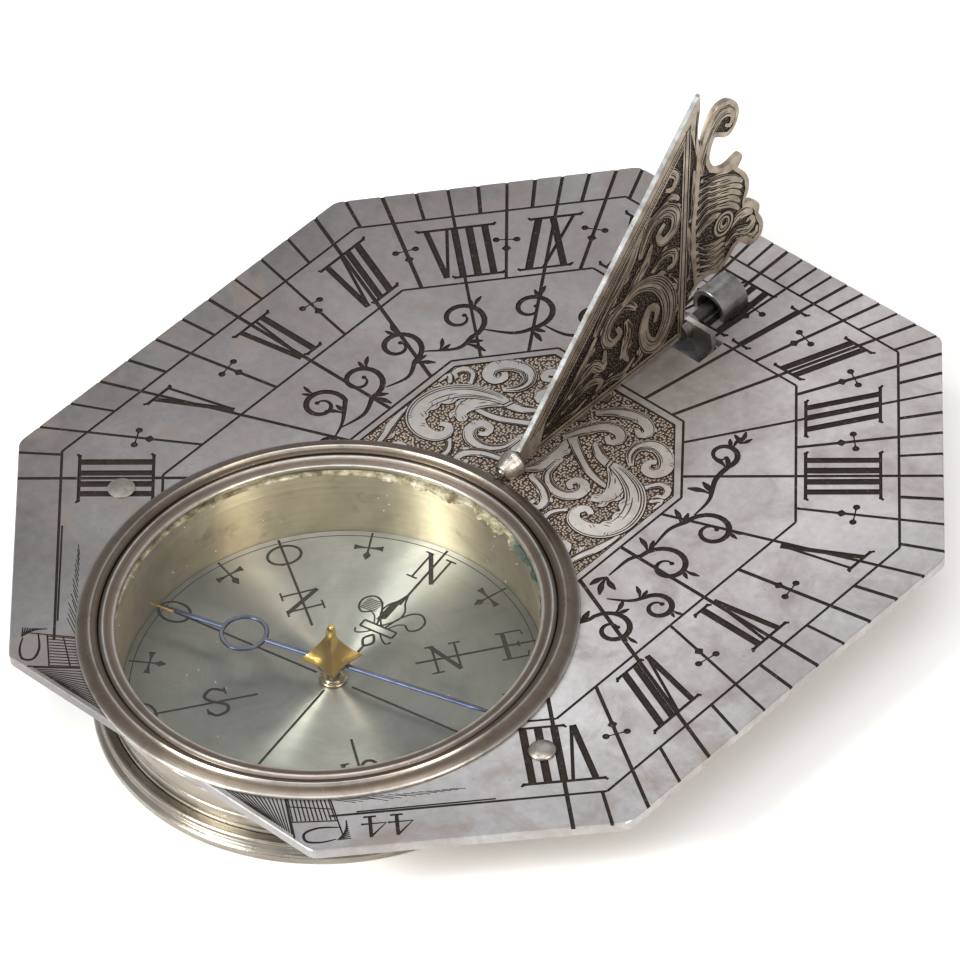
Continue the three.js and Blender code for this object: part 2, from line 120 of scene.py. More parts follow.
class Finish:
    """A Principled material with short ways to build its nodes. Coordinates are millimetres."""

    def __init__(self, name, **sockets):
        self.material = bpy.data.materials.new(name)
        self.material.use_nodes = True
        self.tree = self.material.node_tree
        self.shader = self.tree.nodes["Principled BSDF"]
        for socket, value in sockets.items():
            self.shader.inputs[socket.replace("_", " ")].default_value = value
        place = self.tree.nodes.new("ShaderNodeTexCoord")
        self.place = self.add("ShaderNodeVectorMath", {0: place.outputs["Object"], "Scale": 1000},
                              operation="SCALE").outputs[0]
        self.normal = None

    def add(self, kind, inputs, **settings):
        node = self.tree.nodes.new(kind)
        for key, value in settings.items():
            setattr(node, key, value)
        for key, value in inputs.items():
            if isinstance(value, bpy.types.NodeSocket):
                self.tree.links.new(value, node.inputs[key])
            else:
                node.inputs[key].default_value = value
        return node

    def mapped(self, scale, turn=(0, 0, 0)):
        angles = tuple(math.radians(a) for a in turn)
        return self.add("ShaderNodeMapping", {"Vector": self.place, "Rotation": angles,
                                              "Scale": scale}).outputs[0]

    def noise(self, scale, detail=3.0, rough=0.55, at=None, twist=0.0):
        return self.add("ShaderNodeTexNoise", {
            "Vector": at or self.place, "Scale": scale, "Detail": detail, "Roughness": rough,
            "Distortion": twist}).outputs["Fac"]

    def cells(self, scale):
        return self.add("ShaderNodeTexVoronoi", {"Vector": self.place, "Scale": scale}).outputs["Distance"]

    def ramp(self, fac, *stops):
        node = self.add("ShaderNodeValToRGB", {0: fac})
        elements = node.color_ramp.elements
        while len(elements) < len(stops):
            elements.new(0.5)
        for element, (position, value) in zip(elements, stops):
            element.position = position
            element.color = (*value, 1) if isinstance(value, tuple) else (value, value, value, 1)
        return node.outputs[0]

    def mix(self, fac, a, b, blend="MIX"):
        inputs = {0: fac, 6: (*a, 1) if isinstance(a, tuple) else a,
                  7: (*b, 1) if isinstance(b, tuple) else b}
        return self.add("ShaderNodeMix", inputs, data_type="RGBA", blend_type=blend).outputs[2]

    def math(self, operation, a, b):
        return self.add("ShaderNodeMath", {0: a, 1: b}, operation=operation).outputs[0]

    def axis(self, k):
        """One coordinate of the place: 0 is east, 1 is north, 2 is up."""
        return self.add("ShaderNodeSeparateXYZ", {0: self.place}).outputs[k]

    def radial_grain(self):
        """Turns the anisotropy round the compass axis."""
        self.drive("Tangent", self.add("ShaderNodeTangent", {}, direction_type="RADIAL", axis="Z").outputs[0])

    def vary_roughness(self, noise, low, high):
        self.drive("Roughness", self.mix(noise, (low,) * 3, (high,) * 3))

    def radius(self):
        """Distance from the compass axis."""
        flat = self.add("ShaderNodeVectorMath", {0: self.place, 1: (1, 1, 0)}, operation="MULTIPLY")
        return self.add("ShaderNodeVectorMath", {0: flat.outputs[0]}, operation="LENGTH").outputs["Value"]

    def bump(self, height, microns):
        inputs = {"Height": height, "Distance": microns * 1e-6, "Strength": 1.0}
        if self.normal:
            inputs["Normal"] = self.normal
        self.normal = self.add("ShaderNodeBump", inputs).outputs[0]
        self.tree.links.new(self.normal, self.shader.inputs["Normal"])

    def drive(self, socket, value):
        self.tree.links.new(value, self.shader.inputs[socket])


def worn_silver_with_painted_sheen(name, light, dark, stain, bright, marks=3.0):
    """Old silver: cloudy, with a painted sheen toward the south-east and painted shade in the west and south,
    with brownish stains, fine rubbing marks in two directions and small pits."""
    f = Finish(name, Metallic=0.62)
    grain = 35.0
    cloud = f.ramp(f.noise(0.11, 4, 0.6, twist=0.6), (0.32, dark), (0.68, light))
    fine = f.ramp(f.noise(1.4, 5, 0.7), (0.35, 0.82), (0.7, 1.0))
    tone = f.mix(1.0, cloud, fine, "MULTIPLY")
    # Painted sheen: the tone grows lighter toward the south-east, standing in for a brighter reflection
    # there.
    way = f.math("ADD", f.math("MULTIPLY", f.axis(0), 0.011), f.math("MULTIPLY", f.axis(1), -0.010))
    painted_sheen = f.ramp(f.math("ADD", way, 0.5), (0.2, 0.0), (0.85, 1.0))
    tone = f.mix(painted_sheen, tone, f.mix(1.0, tone, bright, "MULTIPLY"))
    # Painted shade: the tone is darkened toward the west and toward the south.
    for k, stops in ((0, ((0.0, 0.36), (0.2, 0.58), (0.5, 0.76), (0.66, 1.0), (0.86, 0.98), (1.0, 0.74))),
                     (1, ((0.18, 0.58), (0.38, 0.72), (0.55, 1.0)))):
        share = f.math("ADD", f.math("MULTIPLY", f.axis(k), 1 / 60), 0.5)
        tone = f.mix(1.0, tone, f.ramp(share, *stops), "MULTIPLY")
    patch = f.ramp(f.noise(0.16, 5, 0.65, at=f.mapped((1, 1, 1), (0, 0, 40)), twist=1.2), (0.5, 0.0),
                   (0.72, 0.75))
    tone = f.mix(patch, tone, stain)
    pits = f.ramp(f.cells(0.9), (0.03, 1.0), (0.06, 0.0))
    tone = f.mix(f.math("MULTIPLY", pits, 0.55), tone, (0.07, 0.05, 0.045))
    rubbed = f.noise(1.0, 3, 0.6, at=f.mapped((0.5, grain, 1), (0, 0, 28)))
    crossed = f.noise(1.0, 3, 0.6, at=f.mapped((0.35, grain * 0.7, 1), (0, 0, -52)))
    scratch = f.ramp(crossed, (0.66, 0.0), (0.72, 1.0))
    tone = f.mix(f.math("MULTIPLY", scratch, 0.18), tone, (0.75, 0.72, 0.70))
    f.drive("Base Color", tone)
    f.vary_roughness(f.noise(0.35, 4, 0.6), 0.24, 0.42)
    f.bump(rubbed, marks)
    f.bump(crossed, marks * 0.8)
    f.bump(f.noise(0.5, 2, 0.5), marks * 8)
    f.bump(pits, -marks * 3)
    return f.material


def engraving(name, dark, fleck, metal):
    """Blackened cut: dark wax and tarnish with a few bright specks of bare metal."""
    f = Finish(name, Metallic=metal, Specular_IOR_Level=0.25)
    specks = f.ramp(f.noise(3.2, 4, 0.7), (0.60, 0.0), (0.74, 1.0))
    tone = f.mix(specks, f.ramp(f.noise(1.1, 3), (0.3, dark), (0.7, tuple(c * 1.7 for c in dark))), fleck)
    f.drive("Base Color", tone)
    f.drive("Roughness", f.ramp(f.noise(2.5, 3), (0.3, 0.55), (0.7, 0.85)))
    f.bump(f.noise(4.5, 4, 0.7), 14)
    return f.material


def granulated(name, high, low, size, upright=False, grain=(0.26, 0.44)):
    """Ground struck all over with a fine punch: small bright grains in a dark net."""
    f = Finish(name, Metallic=0.85)
    across, along = (1, 2) if upright else (0, 1)
    flat = f.add("ShaderNodeCombineXYZ", {0: f.axis(across), 1: f.axis(along)}).outputs[0]
    punch = f.add("ShaderNodeTexVoronoi", {"Vector": flat, "Scale": size, "Randomness": 0.75},
                  voronoi_dimensions="2D").outputs["Distance"]
    net = f.ramp(punch, (grain[0], 0.0), (grain[1], 1.0))
    cloud = f.ramp(f.noise(0.5, 4), (0.35, 0.0), (0.7, 0.6))
    tone = f.mix(net, f.mix(cloud, high, tuple(c * 0.6 for c in high)), low)
    f.drive("Base Color", tone)
    f.drive("Roughness", f.ramp(f.noise(1.8, 3), (0.3, 0.36), (0.7, 0.6)))
    f.bump(net, -28)
    return f.material


def turned_metal(name, light, dark, patina, rough=(0.22, 0.36), anisotropic=0.7, rings=7.0, spoil=0.5):
    """Metal finished in the lathe: circular grain about the compass axis, patina in patches."""
    f = Finish(name, Metallic=1.0, Anisotropic=anisotropic, Anisotropic_Rotation=0.25)
    f.radial_grain()
    along = f.add("ShaderNodeCombineXYZ", {0: f.math("MULTIPLY", f.radius(), rings),
                                           1: f.math("MULTIPLY", f.axis(2), rings),
                                           2: f.math("MULTIPLY", f.noise(0.05, 2), 3.0)}).outputs[0]
    grain = f.noise(1.0, 4, 0.7, at=along)
    tone = f.mix(f.ramp(f.noise(0.16, 5, 0.62, twist=0.8), (0.35, 0.0), (0.68, 1.0)), light, dark)
    tone = f.mix(f.math("MULTIPLY", f.ramp(grain, (0.42, 0.0), (0.7, 1.0)), 0.35), tone, dark)
    blotch = f.ramp(f.noise(0.42, 6, 0.68, at=f.mapped((1, 1, 1.4), (20, 0, 65)), twist=0.5),
                    (0.56, 0.0), (0.74, 1.0))
    tone = f.mix(f.math("MULTIPLY", blotch, spoil), tone, patina)
    f.drive("Base Color", tone)
    f.vary_roughness(f.noise(0.5, 4), *rough)
    f.bump(grain, 5)
    f.bump(f.ramp(f.noise(2.2, 5, 0.7), (0.3, 0.0), (0.6, 1.0)), 3)
    return f.material


def plain_metal(name, light, dark, rough, marks=6.0, scale=1.2, spoil=(0.05, 0.035, 0.025), amount=0.4,
                metal=1.0):
    """Small filed or polished parts: uneven tone, file marks, dirt in patches."""
    f = Finish(name, Metallic=metal)
    tone = f.mix(f.ramp(f.noise(scale * 0.6, 4), (0.35, 0.0), (0.65, 1.0)), light, dark)
    dirt = f.ramp(f.noise(scale, 5, 0.7), (0.52, 0.0), (0.72, 1.0))
    tone = f.mix(f.math("MULTIPLY", dirt, amount), tone, spoil)
    f.drive("Base Color", tone)
    f.vary_roughness(f.noise(scale * 1.5, 3), rough * 0.8, rough * 1.35)
    f.bump(f.noise(1.0, 3, 0.6, at=f.mapped((1.2, 14, 9), (15, 10, 30))), marks)
    f.bump(f.noise(3.5, 4, 0.6), marks * 0.7)
    return f.material


def clear_glass():
    """The upper face of the glass: a thin reflection that grows at a flat angle, smears and dust."""
    f = Finish("old_glass", Metallic=0.0, IOR=1.5, Base_Color=(0.9, 0.95, 0.92, 1))
    smear = f.ramp(f.noise(0.25, 5, 0.6, twist=1.5), (0.45, 0.03), (0.75, 0.16))
    f.drive("Roughness", smear)
    f.bump(f.noise(0.12, 2), 12)
    clear = f.add("ShaderNodeBsdfTransparent", {"Color": (0.99, 0.99, 0.975, 1)}).outputs[0]
    facing = f.add("ShaderNodeLayerWeight", {"Blend": 0.5, "Normal": f.normal}).outputs["Facing"]
    gloss = f.math("ADD", f.math("MULTIPLY", f.math("POWER", facing, 5.0), 0.6), 0.035)
    dust = f.ramp(f.cells(1.3), (0.05, 0.35), (0.07, 0.0))
    shine = f.add("ShaderNodeBsdfAnisotropic", {"Color": (1, 1, 1, 1), "Roughness": smear,
                                                "Normal": f.normal}).outputs[0]
    both = f.add("ShaderNodeMixShader", {0: gloss, 1: clear, 2: shine}).outputs[0]
    both = f.add("ShaderNodeMixShader", {0: dust, 1: both, 2: f.shader.outputs[0]}).outputs[0]
    f.tree.links.new(both, f.tree.nodes["Material Output"].inputs["Surface"])
    return f.material


def glass_back():
    """The rim and underside of the glass: they let light through, dimmer in patches, and hold dust."""
    f = Finish("old_glass_back", Metallic=0.0, Roughness=0.1)
    tint = f.ramp(f.noise(0.3, 4), (0.4, (0.99, 0.99, 0.98)), (0.7, (0.96, 0.965, 0.945)))
    clear = f.add("ShaderNodeBsdfTransparent", {"Color": tint}).outputs[0]
    dust = f.ramp(f.cells(1.1), (0.02, 0.35), (0.035, 0.0))
    both = f.add("ShaderNodeMixShader", {0: dust, 1: clear, 2: f.shader.outputs[0]}).outputs[0]
    f.tree.links.new(both, f.tree.nodes["Material Output"].inputs["Surface"])
    return f.material


def putty_finish():
    """Dry putty: crumbly and pale, with a green stretch in the east."""
    f = Finish("old_putty", Metallic=0.0)
    tone = f.ramp(f.noise(0.9, 5, 0.7), (0.38, (0.16, 0.12, 0.06)), (0.50, (0.46, 0.40, 0.26)),
                  (0.64, (0.84, 0.81, 0.68)))
    east = f.math("ADD", f.axis(0), f.math("MULTIPLY", f.noise(0.5, 3), 2.0))
    green = f.ramp(f.noise(0.7, 4, 0.7), (0.4, (0.012, 0.035, 0.025)), (0.6, (0.06, 0.10, 0.07)))
    tone = f.mix(f.ramp(f.math("MULTIPLY", east, 0.05), (0.25, 0.0), (0.29, 1.0)), tone, green)
    f.drive("Base Color", tone)
    f.drive("Roughness", f.ramp(f.noise(1.6, 3), (0.3, 0.6), (0.7, 0.95)))
    f.bump(f.noise(2.4, 5, 0.7), 90)
    return f.material


def floor_finish():
    """Pale backdrop paper."""
    f = Finish("pale_floor", Metallic=0.0, Roughness=0.8)
    f.drive("Base Color", f.ramp(f.noise(0.012, 3), (0.3, (0.90, 0.90, 0.90)), (0.7, (0.93, 0.93, 0.93))))
    return f.material


def moulded_metal(name, stops, patina):
    """A turned moulding whose tone follows its radius: bright ridges, brown hollows."""
    f = Finish(name, Metallic=1.0, Anisotropic=0.5, Anisotropic_Rotation=0.25)
    f.radial_grain()
    low, high = stops[0][0], stops[-1][0]
    share = f.add("ShaderNodeMapRange", {0: f.radius(), 1: low, 2: high}).outputs[0]
    tone = f.ramp(share, *[((r - low) / (high - low), tone) for r, tone in stops])
    blotch = f.ramp(f.noise(0.5, 5, 0.7, twist=0.7), (0.46, 0.0), (0.68, 1.0))
    tone = f.mix(f.math("MULTIPLY", blotch, 0.5), tone, patina)
    specks = f.ramp(f.noise(3.0, 4, 0.7), (0.66, 0.0), (0.74, 1.0))
    tone = f.mix(f.math("MULTIPLY", specks, 0.5), tone, (0.62, 0.60, 0.55))
    f.drive("Base Color", tone)
    f.vary_roughness(f.noise(0.8, 4), 0.26, 0.42)
    f.bump(f.noise(2.6, 4, 0.7), 9)
    return f.material


SILVER = worn_silver_with_painted_sheen("plate_silver", (0.54, 0.505, 0.495), (0.40, 0.36, 0.35), (0.25, 0.20, 0.175),
                     (1.18, 1.23, 1.26))
CUT = engraving("blackened_cut", (0.012, 0.008, 0.006), (0.13, 0.09, 0.065), metal=0.15)
FINE_CUT = engraving("fine_cut", (0.035, 0.022, 0.015), (0.20, 0.15, 0.11), metal=0.3)
GROUND = granulated("punched_ground", (0.50, 0.42, 0.34), (0.075, 0.048, 0.034), size=4.4)
PANEL = worn_silver_with_painted_sheen("panel_silver", (0.66, 0.62, 0.59), (0.50, 0.455, 0.425), (0.32, 0.26, 0.22),
                    (1.05, 1.04, 1.02), marks=2.0)
BLADE = plain_metal("gnomon_silver", (0.41, 0.35, 0.275), (0.235, 0.19, 0.145), 0.38, amount=0.55, metal=0.82)
BLADE_CUT = engraving("gnomon_cut", (0.006, 0.004, 0.003), (0.06, 0.04, 0.03), metal=0.1)
BLADE_GROUND = granulated("gnomon_ground", (0.22, 0.165, 0.115), (0.010, 0.007, 0.005), size=4.6,
                          upright=True, grain=(0.10, 0.34))
# Painted shade: a darker copy of the blade's silver for the style edge, holding back the key light's
# highlight there.
STYLE_EDGE_SHADED = plain_metal("style_edge_painted_shade", (0.29, 0.295, 0.30), (0.15, 0.145, 0.14), 0.36, marks=6, amount=0.55)
DARK_PIN = plain_metal("pin_black", (0.10, 0.095, 0.09), (0.05, 0.045, 0.042), 0.40)
CAM = plain_metal("cam_silver", (0.62, 0.59, 0.54), (0.40, 0.37, 0.33), 0.34, marks=8)
WALL = turned_metal("bowl_gilt", (0.60, 0.545, 0.41), (0.40, 0.34, 0.235), (0.20, 0.135, 0.085),
                    rough=(0.40, 0.52), anisotropic=0.95)
BOX_SILVER = turned_metal("box_silver", (0.40, 0.37, 0.32), (0.27, 0.24, 0.20), (0.12, 0.09, 0.065),
                          rings=3.0)
ROSE = turned_metal("rose_silver", (0.47, 0.465, 0.42), (0.31, 0.305, 0.28), (0.30, 0.235, 0.155),
                    rough=(0.42, 0.52), anisotropic=0.97, rings=9.0, spoil=0.35)
ROSE_CUT = engraving("rose_cut", (0.016, 0.010, 0.007), (0.10, 0.07, 0.05), metal=0.1)
BEZEL = moulded_metal("bezel_patina", [
    (15.90, (0.09, 0.066, 0.048)), (16.14, (0.14, 0.108, 0.083)), (16.34, (0.21, 0.175, 0.14)),
    (16.45, (0.56, 0.54, 0.49)), (16.58, (0.22, 0.185, 0.15)), (16.80, (0.16, 0.125, 0.097)),
    (17.10, (0.18, 0.145, 0.115)), (17.30, (0.26, 0.225, 0.19)), (17.42, (0.52, 0.50, 0.46))],
    (0.12, 0.082, 0.055))
KEEPER = moulded_metal("keeper_patina", [
    (14.70, (0.50, 0.48, 0.43)), (14.84, (0.52, 0.48, 0.41)), (14.98, (0.24, 0.19, 0.15)),
    (15.26, (0.17, 0.13, 0.105)), (15.42, (0.24, 0.20, 0.165)), (15.54, (0.60, 0.58, 0.53)),
    (15.66, (0.22, 0.18, 0.15)), (15.86, (0.10, 0.075, 0.06))], (0.15, 0.105, 0.08))
RIVET = plain_metal("rivet_silver", (0.44, 0.405, 0.36), (0.29, 0.255, 0.215), 0.32, amount=0.5)
HINGE = plain_metal("hinge_silver", (0.34, 0.32, 0.315), (0.20, 0.18, 0.17), 0.32, marks=10, amount=0.55)
STEEL = plain_metal("pin_steel", (0.42, 0.42, 0.43), (0.25, 0.24, 0.24), 0.34)
SPRING = plain_metal("spring_steel", (0.30, 0.30, 0.31), (0.17, 0.165, 0.17), 0.38, amount=0.6)
BLUED = plain_metal("blued_steel", (0.19, 0.20, 0.235), (0.07, 0.075, 0.11), 0.24, marks=2, scale=0.3,
                    amount=0.4)
# Painted shade: a darker copy of the blued steel for the needle's sides and chamfers, standing in for their
# shade beside the lit top.
BLUED_SHADED_EDGE = plain_metal("blued_edge_painted_shade", (0.035, 0.045, 0.10), (0.02, 0.025, 0.05), 0.3, marks=3)
BUSH = plain_metal("bush_brass", (0.40, 0.34, 0.24), (0.22, 0.18, 0.12), 0.26)
BRASS = plain_metal("cap_brass", (0.98, 0.72, 0.24), (0.80, 0.52, 0.13), 0.17, amount=0.3,
                    spoil=(0.34, 0.19, 0.05))
PUTTY = putty_finish()
GLASS = clear_glass()
GLASS_BACK = glass_back()


# ---------------------------------------------------------------- lines and outlines

def arc(cx, cy, radius, start, end, step=8.0):
    """Points of an arc; angles in degrees."""
    n = max(2, round(abs(end - start) / step))
    turns = [math.radians(start + (end - start) * i / n) for i in range(n + 1)]
    return [(cx + radius * math.cos(a), cy + radius * math.sin(a)) for a in turns]


def circle(cx, cy, radius, count=48):
    return arc(cx, cy, radius, 0, 360, 360 / count)[:-1]


def smooth(knots, step=0.25):
    """A Catmull-Rom curve through the knots."""
    points = []
    padded = [knots[0], *knots, knots[-1]]
    for a, b, c, d in zip(padded, padded[1:], padded[2:], padded[3:]):
        n = max(2, round(math.dist(b, c) / step))
        for i in range(n):
            t = i / n
            points.append(tuple(
                0.5 * (2 * q + (r - p) * t + (2 * p - 5 * q + 4 * r - s) * t * t
                       + (3 * q - p - 3 * r + s) * t ** 3)
                for p, q, r, s in zip(a, b, c, d)))
    return [*points, tuple(knots[-1])]


def spiral(cx, cy, outer, inner, start, sweep):
    """A volute that winds in about its centre; a positive sweep turns anticlockwise."""
    n = round(abs(sweep) / 16)
    points = []
    for i in range(n + 1):
        radius = outer * (inner / outer) ** (i / n)
        turn = math.radians(start + sweep * i / n)
        points.append((cx + radius * math.cos(turn), cy + radius * math.sin(turn)))
    return points


def area(ring):
    """Positive when the ring runs anticlockwise."""
    return sum(a[0] * b[1] - b[0] * a[1] for a, b in zip(ring, [*ring[1:], ring[0]])) / 2


def grown(ring, distance):
    """An anticlockwise ring moved outwards by a distance, with mitred corners."""
    n, moved = len(ring), []
    for i, (x, y) in enumerate(ring):
        ax, ay = ring[i - 1]
        bx, by = ring[(i + 1) % n]
        first = math.hypot(x - ax, y - ay) or 1
        second = math.hypot(bx - x, by - y) or 1
        n1 = ((y - ay) / first, (ax - x) / first)
        n2 = ((by - y) / second, (x - bx) / second)
        scale = distance / max(0.35, 1 + n1[0] * n2[0] + n1[1] * n2[1])
        moved.append((x + (n1[0] + n2[0]) * scale, y + (n1[1] + n2[1]) * scale))
    return moved


def taper(width, ends):
    """A stroke that is widest in the middle."""
    return lambda t: width * (ends + (1 - ends) * math.sin(math.pi * t) ** 0.8)


def leaf_width(width):
    """A stroke that swells soon after its start and comes to a point."""
    return lambda t: width * math.sin(math.pi * (0.10 + 0.88 * t) ** 0.75)


def ribbon(spine, width):
    """Small convex pieces that cover a line of changing width."""
    n = len(spine) - 1
    sides = []
    for i, (x, y) in enumerate(spine):
        ax, ay = spine[max(i - 1, 0)]
        bx, by = spine[min(i + 1, n)]
        run = math.hypot(bx - ax, by - ay) or 1
        half = (width(i / n) if callable(width) else width) / 2
        half = max(half, 0.004)
        nx, ny = -(by - ay) / run * half, (bx - ax) / run * half
        sides.append(((x + nx, y + ny), (x - nx, y - ny)))
    pieces = []
    for (l0, r0), (l1, r1) in zip(sides, sides[1:]):
        if all(area(corner) > 0 for corner in ([r0, r1, l1], [r0, l1, l0], [r0, r1, l0], [r1, l1, l0])):
            pieces.append([r0, r1, l1, l0])
            continue
        for corner in ([r0, r1, l1], [r0, l1, l0]):
            size = area(corner)
            if abs(size) > 1e-6:
                pieces.append(corner if size > 0 else corner[::-1])
    return pieces


Cut = namedtuple("Cut", "ring depth finish rank inside")


class Engraver:
    """Collects the cuts of one face. A cut with a higher rank wins; inside names the field it is kept to."""

    def __init__(self):
        self.cuts = []

    def area(self, ring, depth, finish, rank, inside=None):
        ring = [tuple(p) for p in ring]
        if area(ring) < 0:
            ring = ring[::-1]
        self.cuts.append(Cut(ring, depth, finish, rank, inside))
        return len(self.cuts) - 1

    def line(self, spine, width, depth=0.07, finish=1, rank=3, inside=None):
        for piece in ribbon(spine, width):
            self.cuts.append(Cut(piece, depth, finish, rank, inside))

    def dot(self, x, y, radius, depth=0.07, finish=1, rank=3, count=10):
        self.cuts.append(Cut(circle(x, y, radius, count), depth, finish, rank, None))


# ---------------------------------------------------------------- meshes

def mesh_object(name, points, faces, finishes, origin=DIAL, face_finish=None, smooth_angle=None):
    data = bpy.data.meshes.new(name)
    data.from_pydata([tuple((c + o) / 1000 for c, o in zip(p, origin)) for p in points], [], faces)
    for finish in finishes:
        data.materials.append(finish)
    if face_finish:
        data.polygons.foreach_set("material_index", face_finish)
    if smooth_angle:
        data.shade_smooth()
        data.set_sharp_from_angle(angle=math.radians(smooth_angle))
    data.validate()
    piece = bpy.data.objects.new(name, data)
    scene.collection.objects.link(piece)
    return piece


def triangles(rings, cuts):
    """The area inside the first ring and outside the others, split along every cut.

    Returns the points and (corner indices, winning cut or None) for each triangle."""
    points, faces = [], []
    for ring in [*rings, *[cut.ring for cut in cuts]]:
        faces.append(list(range(len(points), len(points) + len(ring))))
        points += [Vector(p) for p in ring]
    flat, _, corners, _, _, owners = delaunay_2d_cdt(points, [], faces, 1, 1e-5, True)
    kept = []
    for corner, owner in zip(corners, owners):
        held = set(owner)
        if 0 not in held or any(k in held for k in range(1, len(rings))):
            continue
        best = None
        for k in held:
            if k < len(rings):
                continue
            cut = cuts[k - len(rings)]
            if cut.inside is not None and cut.inside + len(rings) not in held:
                continue
            if best is None or cut.rank > best.rank:
                best = cut
        kept.append((tuple(corner), best))
    return [tuple(p) for p in flat], kept


def border_of(kept):
    """The cut beside every directed edge, and the same for the edges with nothing on their other side."""
    edges = {}
    for (a, b, c), cut in kept:
        for edge in ((a, b), (b, c), (c, a)):
            edges[edge] = cut
    return edges, {e: cut for e, cut in edges.items() if (e[1], e[0]) not in edges}


def loops_of(border):
    following = {a: b for a, b in border}
    loops = []
    while following:
        start = next(iter(following))
        loop, at = [], start
        while at in following:
            loop.append(at)
            at = following.pop(at)
        loops.append(loop)
    return loops


def carved(name, outline, holes, front, back, low, high, chamfer, finishes, place, origin=DIAL,
           smooth_angle=None, edge_finish=None):
    """A flat piece with engraved faces. The outline and holes are its true size; place turns
    (across, up, out) into x, y, z. Cuts on the back may not reach the edge. edge_finish picks
    the finish of the side at a point of the outline."""
    rings = [grown(outline, -chamfer), *[grown(hole, chamfer) for hole in holes]]
    flat, kept = triangles(rings, front)
    edges, border = border_of(kept)
    loops = sorted(loops_of(border), key=lambda loop: -abs(area([flat[i] for i in loop])))
    loops = [loop for loop in loops if len(loop) > 2]

    points, index = [], {}

    def corner(key, position):
        if key not in index:
            index[key] = len(points)
            points.append(place(*position))
        return index[key]

    def depth_of(cut):
        return cut.depth if cut else 0.0

    def finish_of(cut):
        return cut.finish if cut else 0

    outward, before, after = {}, {}, {}
    for loop in loops:
        ring = [flat[i] for i in loop]
        for i, moved in zip(loop, grown(ring, chamfer)):
            outward[i] = moved
        for a, b in zip(loop, [*loop[1:], loop[0]]):
            after[a] = before[b] = depth_of(border[(a, b)])

    def top(i, depth):
        return corner(("top", i, depth), (*flat[i], high - depth))

    def shoulder(i, depth):
        return corner(("shoulder", i, depth), (*outward[i], high - chamfer - depth))

    def waist(i):
        return corner(("waist", i), (*outward[i], low + chamfer))

    def foot(i):
        return corner(("foot", i), (*flat[i], low))

    faces, face_finish = [], []

    def face(corners, finish):
        faces.append(corners)
        face_finish.append(finish)

    for (a, b, c), cut in kept:
        d = depth_of(cut)
        face([top(a, d), top(b, d), top(c, d)], finish_of(cut))
    for (a, b), cut in edges.items():
        d = depth_of(cut)
        if (b, a) in edges:
            other = edges[(b, a)]
            if depth_of(other) > d:
                lower = depth_of(other)
                face([top(a, d), top(a, lower), top(b, lower), top(b, d)], finish_of(other))
    for (a, b), cut in border.items():
        d = depth_of(cut)
        rim = edge_finish(*flat[a], *flat[b]) if edge_finish else 0
        face([top(a, d), shoulder(a, d), shoulder(b, d), top(b, d)], finish_of(cut) or rim)
        side = [shoulder(a, d)]
        if before[a] > d:
            side.append(shoulder(a, before[a]))
        side += [waist(a), waist(b)]
        if after[b] > d:
            side.append(shoulder(b, after[b]))
        side.append(shoulder(b, d))
        face(side, rim)
        face([waist(a), foot(a), foot(b), waist(b)], rim)
        if before[a] != d:
            step = [top(a, before[a]), shoulder(a, before[a]), shoulder(a, d), top(a, d)]
            face(step if d > before[a] else step[::-1], 1 if len(finishes) > 1 else 0)

    back_rings = [[flat[i] for i in loop] for loop in loops]
    back_rings = [ring if area(ring) > 0 else ring[::-1] for ring in back_rings]
    flat_back, kept_back = triangles(back_rings, back)
    same = {(round(flat[i][0], 4), round(flat[i][1], 4)): i for loop in loops for i in loop}

    def under(i, depth):
        twin = same.get((round(flat_back[i][0], 4), round(flat_back[i][1], 4)))
        if twin is not None and depth == 0:
            return foot(twin)
        return corner(("under", i, depth), (*flat_back[i], low + depth))

    back_edges, _ = border_of(kept_back)
    for (a, b, c), cut in kept_back:
        d = depth_of(cut)
        face([under(c, d), under(b, d), under(a, d)], finish_of(cut))
    for (a, b), cut in back_edges.items():
        other = back_edges.get((b, a))
        if (b, a) in back_edges and depth_of(other) > depth_of(cut):
            d, lower = depth_of(cut), depth_of(other)
            face([under(a, d), under(b, d), under(b, lower), under(a, lower)], finish_of(other))
    return mesh_object(name, points, faces, finishes, origin, face_finish, smooth_angle)


def lathe(name, profile, finishes, facets, origin=COMPASS, ring=False, angle=35, band=None, lying=False):
    """A turned piece. profile is (radius, height), and a ring's profile closes on itself. band picks
    the finish of each step of the profile. A lying piece has its axis along the noon line."""
    points, faces, rows = [], [], []
    for radius, height in profile:
        if radius < 1e-6:
            rows.append([len(points)] * facets)
            points.append((0, 0, height))
            continue
        rows.append(list(range(len(points), len(points) + facets)))
        for i in range(facets):
            turn = 2 * math.pi * i / facets
            points.append((radius * math.cos(turn), radius * math.sin(turn), height))
    pairs = list(zip(rows, rows[1:]))
    if ring:
        pairs.append((rows[-1], rows[0]))
    chosen = []
    for k, (lower, upper) in enumerate(pairs):
        for i in range(facets):
            j = (i + 1) % facets
            quad = list(dict.fromkeys([lower[i], lower[j], upper[j], upper[i]]))
            if len(quad) > 2:
                faces.append(quad)
                chosen.append(band(k) if band else 0)
    if lying:
        points = [(x, z, -y) for x, y, z in points]
    return mesh_object(name, points, faces, finishes, origin, chosen, angle)


